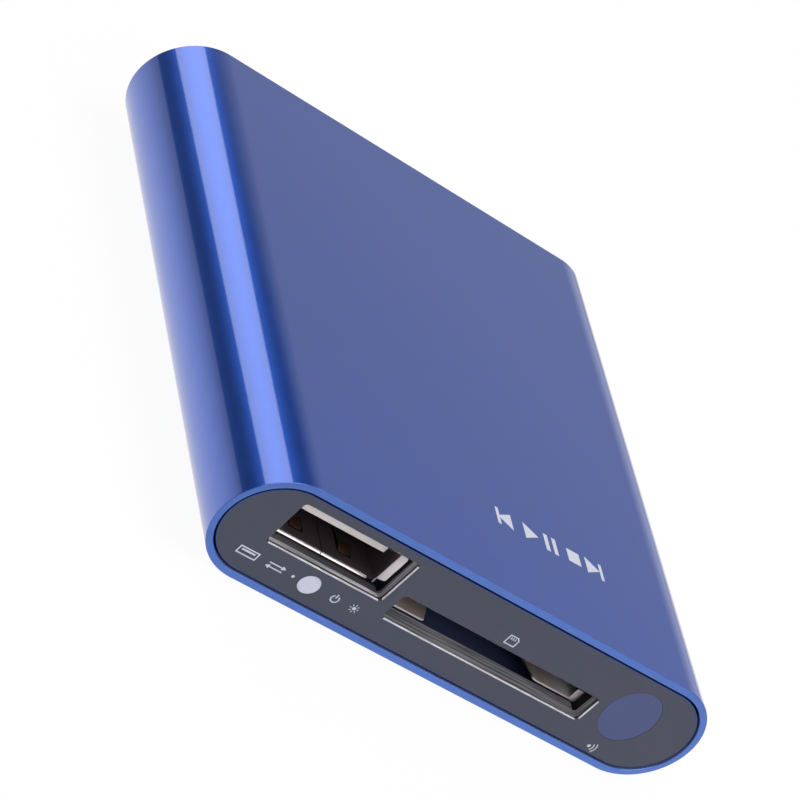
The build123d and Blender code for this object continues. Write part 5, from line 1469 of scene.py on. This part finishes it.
satin_steel = grained("satin_steel", (0.36, 0.36, 0.38), (0.54, 0.54, 0.56), rough=(0.26, 0.38), scale=3000.0,
                      relief=(0.15, FINE_RELIEF), settings=METAL)
screws = []
for x in SCREW_PLACES:
    screw = round_bar("screw", (x, SCREW_Z), SHANK, SCREW_TIP + TIP_LENGTH, REAR_OUT - HEAD_HEIGHT, 40)
    edit(screw)
    pick_faces(screw, lambda centre, normal: normal.y > FACING)
    drawn_out(0.02, NECK / SHANK, x)
    drawn_out(HEAD_HEIGHT - 0.1, HEAD_RADIUS / NECK, x)
    extrude((0, HEAD_RIM * MM, 0))
    drawn_out(0.03, 0.985, x)
    pick_faces(screw, lambda centre, normal: normal.y < -FACING)
    drawn_out(-TIP_LENGTH, TIP_TAPER, x)
    close_edit()
    for turn in (0, 90):
        slit = box_piece("slit", (-SLIT_HALF[0], -SLIT_DEPTH, -SLIT_HALF[1]),
                         (SLIT_HALF[0], SLIT_DEPTH / 2, SLIT_HALF[1]))
        edit(slit)
        pick_faces(slit, lambda centre, normal: normal.y < -FACING)
        bpy.ops.transform.resize(value=(0.55, 1, 0.7))
        close_edit()
        slit.rotation_euler = (0, math.radians(turn + SLIT_TURN), 0)
        slit.location = (x * MM, REAR_OUT * MM, SCREW_Z * MM)
        settle(slit)
        combine(screw, slit)
    screws.append(screw)
screws = join("rear_screw_pair", screws)
screws.data.materials.append(satin_steel)
smooth(screws)
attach(screws, "player")
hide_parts("rear_screws")

# Video socket: a folded shell with slanted corners, a black tongue on a block, and a row of gilded contacts
# on each side of the tongue. The shell has spring leaves in its floor and feet that reach the board.
VIDEO_IN = 18.0
VIDEO_OUT = 31.4
VIDEO_SHEET = 0.3
VIDEO_TONGUE = (5.4, 3.4, 5.0)
VIDEO_TONGUE_OUT = 30.4
VIDEO_BLOCK_OUT = 20.5
LEAF_PLACES = (-3.4, 3.4)
LEAF_HALF = 0.72
LEAF_SLOT = (0.95, 24.6, 30.0)
FOOT_PLACES = (-4.5, 4.5)
FOOT_STARTS = (20.0, 26.0)
FOOT_SIZE = (0.8, 1.5)
FOOT_LEVELS = (6.7, 7.1)
PIN_HALF = 0.22
PIN_THICK = 0.15

video_shell = prism("video_sheet", video_section(0), VIDEO_IN, VIDEO_OUT)
bevel_edges(video_shell, lambda a, b: abs(a.y - b.y) > NEAR, 0.45 * MM, 4)
edit(video_shell)
pick_faces(video_shell, lambda middle, normal: normal.y > FACING)
bpy.ops.mesh.inset(thickness=VIDEO_SHEET * MM)
extrude((0, -(VIDEO_OUT - VIDEO_IN - VIDEO_SHEET) * MM, 0))
close_edit()
bevel_edges(video_shell, lambda a, b: min(a.y, b.y) > (VIDEO_OUT - 0.01) * MM, 0.06 * MM, 2)
video_parts = [video_shell]
for offset in LEAF_PLACES:
    x = VIDEO_MIDDLE + offset
    combine(video_shell, box_piece("leaf_slot", (x - LEAF_SLOT[0], LEAF_SLOT[1], 1.2),
                                   (x + LEAF_SLOT[0], LEAF_SLOT[2], 2.3)))
    leaf = sheet_strip("leaf", [(x, 24.5, 1.8), (x, 25.2, 1.82), (x, 28.4, 2.2), (x, 28.8, 2.24),
                                (x, 29.2, 2.18), (x, 29.8, 1.95)], (LEAF_HALF, 0, 0), 0.18)
    round_edges(leaf, 0.04 * MM)
    video_parts.append(leaf)
for offset in FOOT_PLACES:
    x = VIDEO_MIDDLE + offset
    for start in FOOT_STARTS:
        foot = box_piece("foot", (x - FOOT_SIZE[0], start, FOOT_LEVELS[0]),
                         (x + FOOT_SIZE[0], start + FOOT_SIZE[1], FOOT_LEVELS[1]))
        round_edges(foot, 0.05 * MM)
        video_parts.append(foot)
video_shell = join("video_sheet", video_parts)
video_shell.data.materials.append(tin_plate)
smooth(video_shell)
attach(video_shell, "player")
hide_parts("video_socket_shell")

video_block = prism("video_insulator", video_section(0.36), VIDEO_IN + VIDEO_SHEET, VIDEO_BLOCK_OUT)
round_edges(video_block, 0.1 * MM, 2, 20)
blade = box_piece("blade", (VIDEO_MIDDLE - VIDEO_TONGUE[0], VIDEO_BLOCK_OUT - 0.2, VIDEO_TONGUE[1]),
                  (VIDEO_MIDDLE + VIDEO_TONGUE[0], VIDEO_TONGUE_OUT, VIDEO_TONGUE[2]))
bevel_edges(blade, lambda a, b: min(a.y, b.y) > VIDEO_TONGUE_OUT * MM - SAME, 0.25 * MM, 3)
video_block = join("video_insulator", [video_block, blade])
video_block.data.materials.append(black_moulding)
smooth(video_block)
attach(video_block, "player")
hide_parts("video_socket_tongue")

video_pins = []
for count, bottom in ((10, VIDEO_TONGUE[1] - PIN_THICK), (9, VIDEO_TONGUE[2])):
    for index in range(count):
        x = VIDEO_MIDDLE + index - (count - 1) / 2
        pin = box_piece("pin", (x - PIN_HALF, VIDEO_BLOCK_OUT - 0.1, bottom),
                        (x + PIN_HALF, VIDEO_TONGUE_OUT - 0.5, bottom + PIN_THICK))
        round_edges(pin, 0.03 * MM)
        video_pins.append(pin)
video_pins = join("video_contact_rows", video_pins)
video_pins.data.materials.append(gilding)
smooth(video_pins)
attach(video_pins, "player")
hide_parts("video_socket_contacts")

# Sound and picture jack: a black body under the board, a turned bushing that shows at the back, and two side
# springs inside.
BUSHING_RADIUS = 2.6
BUSHING_BORE = 1.8
BUSHING_FACE = 31.6
BUSHING_NECK = (2.2, 27.6)
FLANGE_BACK = 28.6
softened("av_jack_body", "player", 0.05, black_moulding)
bushing = round_bar("jack_bushing", AV_PLACE, BUSHING_NECK[0], BUSHING_NECK[1], FLANGE_BACK + 0.1, 96)
combine(bushing, round_bar("flange", AV_PLACE, BUSHING_RADIUS, FLANGE_BACK, BUSHING_FACE, 96), "UNION")
combine(bushing, round_bar("bore", AV_PLACE, BUSHING_BORE, BUSHING_NECK[1] - 0.6, BUSHING_FACE + 0.9, 96))
bevel_edges(bushing, lambda a, b: min(a.y, b.y) > BUSHING_FACE * MM - SAME, 0.14 * MM, 3)
bushing.data.materials.append(tin_plate)
smooth(bushing)
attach(bushing, "player")
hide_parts("av_jack_bushing")
softened("av_jack_springs", "player", 0.05, gilding)

# Power jack: a black moulded body with a round nose, a turned and tinned centre pin with a round end, and a
# gilded side spring. It hangs under the board, behind its opening in the rear panel.
DC_PIN_RADIUS = 0.65
DC_PIN_ENDS = (18.5, 30.25)
DC_PIN_ROUNDING = 0.5
softened("dc_jack_body", "player", 0.08, black_moulding)
dc_pin = round_bar("power_pin", DC_PLACE, DC_PIN_RADIUS, *DC_PIN_ENDS, 48)
bevel_edges(dc_pin, lambda a, b: min(a.y, b.y) > DC_PIN_ENDS[1] * MM - SAME, DC_PIN_ROUNDING * MM, 6)
dc_pin.data.materials.append(tin_plate)
smooth(dc_pin, 40)
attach(dc_pin, "player")
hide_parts("dc_jack_pin")
softened("dc_jack_spring", "player", 0.05, gilding)

# Infrared receiver: a sensor moulded in black resin, whose round lens looks out through the window. It stands
# on three bent leads, which are soldered to the board.
softened("infrared_receiver", "player", 0.12, black_moulding)
softened("receiver_leads", "player", 0.04, tin_plate)

# Main board: a plate of glass fibre laminate under green solder mask. Fine copper tracks, copper areas and
# hole rings show through the mask. The board lies in the sleeve's rails.
PATCHES_PER_METRE = 170.0
HOLES_PER_METRE = 330.0
HOLE_RING = 0.10
TRACK_PITCH = 0.45
TRACK_WIDTH = 0.18
ACROSS_OVER = 0.62
ALONG_UNDER = 0.36
COPPER_OVER = 0.86

solder_mask, tree, output = new_material("solder_mask")
shader = tree.nodes.new("ShaderNodeBsdfPrincipled")
shader.inputs["Coat Weight"].default_value = 0.4
shader.inputs["Coat Roughness"].default_value = 0.15
place = tree.nodes.new("ShaderNodeTexCoord")
patches = tree.nodes.new("ShaderNodeTexVoronoi")
patches.distance = "CHEBYCHEV"
patches.inputs["Scale"].default_value = PATCHES_PER_METRE
tree.links.new(place.outputs["Object"], patches.inputs["Vector"])
patch_value = tree.nodes.new("ShaderNodeSeparateColor")
tree.links.new(patches.outputs["Color"], patch_value.inputs[0])


def stripes(tree, distance):
    """1 on the tracks and 0 between them, by the distance across them."""
    from_track = counted(tree, "PINGPONG", distance, TRACK_PITCH / 2 * MM)
    return counted(tree, "LESS_THAN", from_track, TRACK_WIDTH / 2 * MM)


board_place = split_place(tree)
across_here = counted(tree, "GREATER_THAN", patch_value.outputs["Red"], ACROSS_OVER)
along_here = counted(tree, "LESS_THAN", patch_value.outputs["Red"], ALONG_UNDER)
runs_across = counted(tree, "MULTIPLY", stripes(tree, board_place["X"]), across_here)
runs_along = counted(tree, "MULTIPLY", stripes(tree, board_place["Y"]), along_here)
copper_area = counted(tree, "GREATER_THAN", patch_value.outputs["Green"], COPPER_OVER)
holes = tree.nodes.new("ShaderNodeTexVoronoi")
holes.inputs["Scale"].default_value = HOLES_PER_METRE
tree.links.new(place.outputs["Object"], holes.inputs["Vector"])
hole_rings = counted(tree, "LESS_THAN", holes.outputs["Distance"], HOLE_RING)
tracks = counted(tree, "MAXIMUM", counted(tree, "MAXIMUM", runs_across, runs_along),
                 counted(tree, "MAXIMUM", copper_area, hole_rings))
grain = use_group(tree, fine_grain, Scale=2500.0, Stretch=(1.0, 1.0, 1.0))
mask_green = blend_colours(tree, spread(tree, grain.outputs["Mottle"], 0.0, 1.0),
                           (0.008, 0.085, 0.038), (0.014, 0.120, 0.055))
tree.links.new(blend_colours(tree, tracks, mask_green, (0.022, 0.175, 0.078)), shader.inputs["Base Color"])
tree.links.new(spread(tree, grain.outputs["Mottle"], 0.28, 0.40), shader.inputs["Roughness"])
tree.links.new(bump(tree, tracks, 0.20, 0.03 * MM), shader.inputs["Normal"])
tree.links.new(shader.outputs[0], output.inputs["Surface"])
softened("main_board", "player", 0.08, solder_mask)

# Chips on the board: moulded packages in black compound, the storage chip's bent leads, and a metal crystal
# can. All are soldered to the board's upper side.
mould_black = grained("mould_black", (0.016, 0.016, 0.018), (0.032, 0.032, 0.035), rough=(0.50, 0.65),
                      scale=7000.0, relief=(0.30, FINE_RELIEF))
for node in ("processor", "memory_chips", "storage_chip"):
    softened(node, "player", 0.08, mould_black)
softened("storage_chip_leads", "player", 0.02, tin_plate)
softened("crystal", "player", 0.3, tin_plate)

# Power parts on the board: shielded coils and a voltage regulator in black resin, and moulded and ceramic
# capacitors in tan. They are soldered to the board.
for node in ("power_inductors", "voltage_regulator"):
    softened(node, "player", 0.12, mould_black)
tan_ceramic = grained("tan_ceramic", (0.42, 0.30, 0.18), (0.58, 0.44, 0.28), rough=(0.45, 0.60), scale=5000.0)
softened("moulded_capacitors", "player", 0.15, tan_ceramic)
softened("ceramic_capacitors", "player", 0.06, tan_ceramic)

# Thermal pad: a soft grey pad, cut from silicone sheet, that leads the processor's heat to the top of the
# sleeve. It is pressed between the two.
pad_grey = grained("pad_grey", (0.32, 0.36, 0.40), (0.44, 0.48, 0.52), rough=(0.70, 0.85), scale=3000.0)
softened("thermal_pad", "player", 0.15, pad_grey)
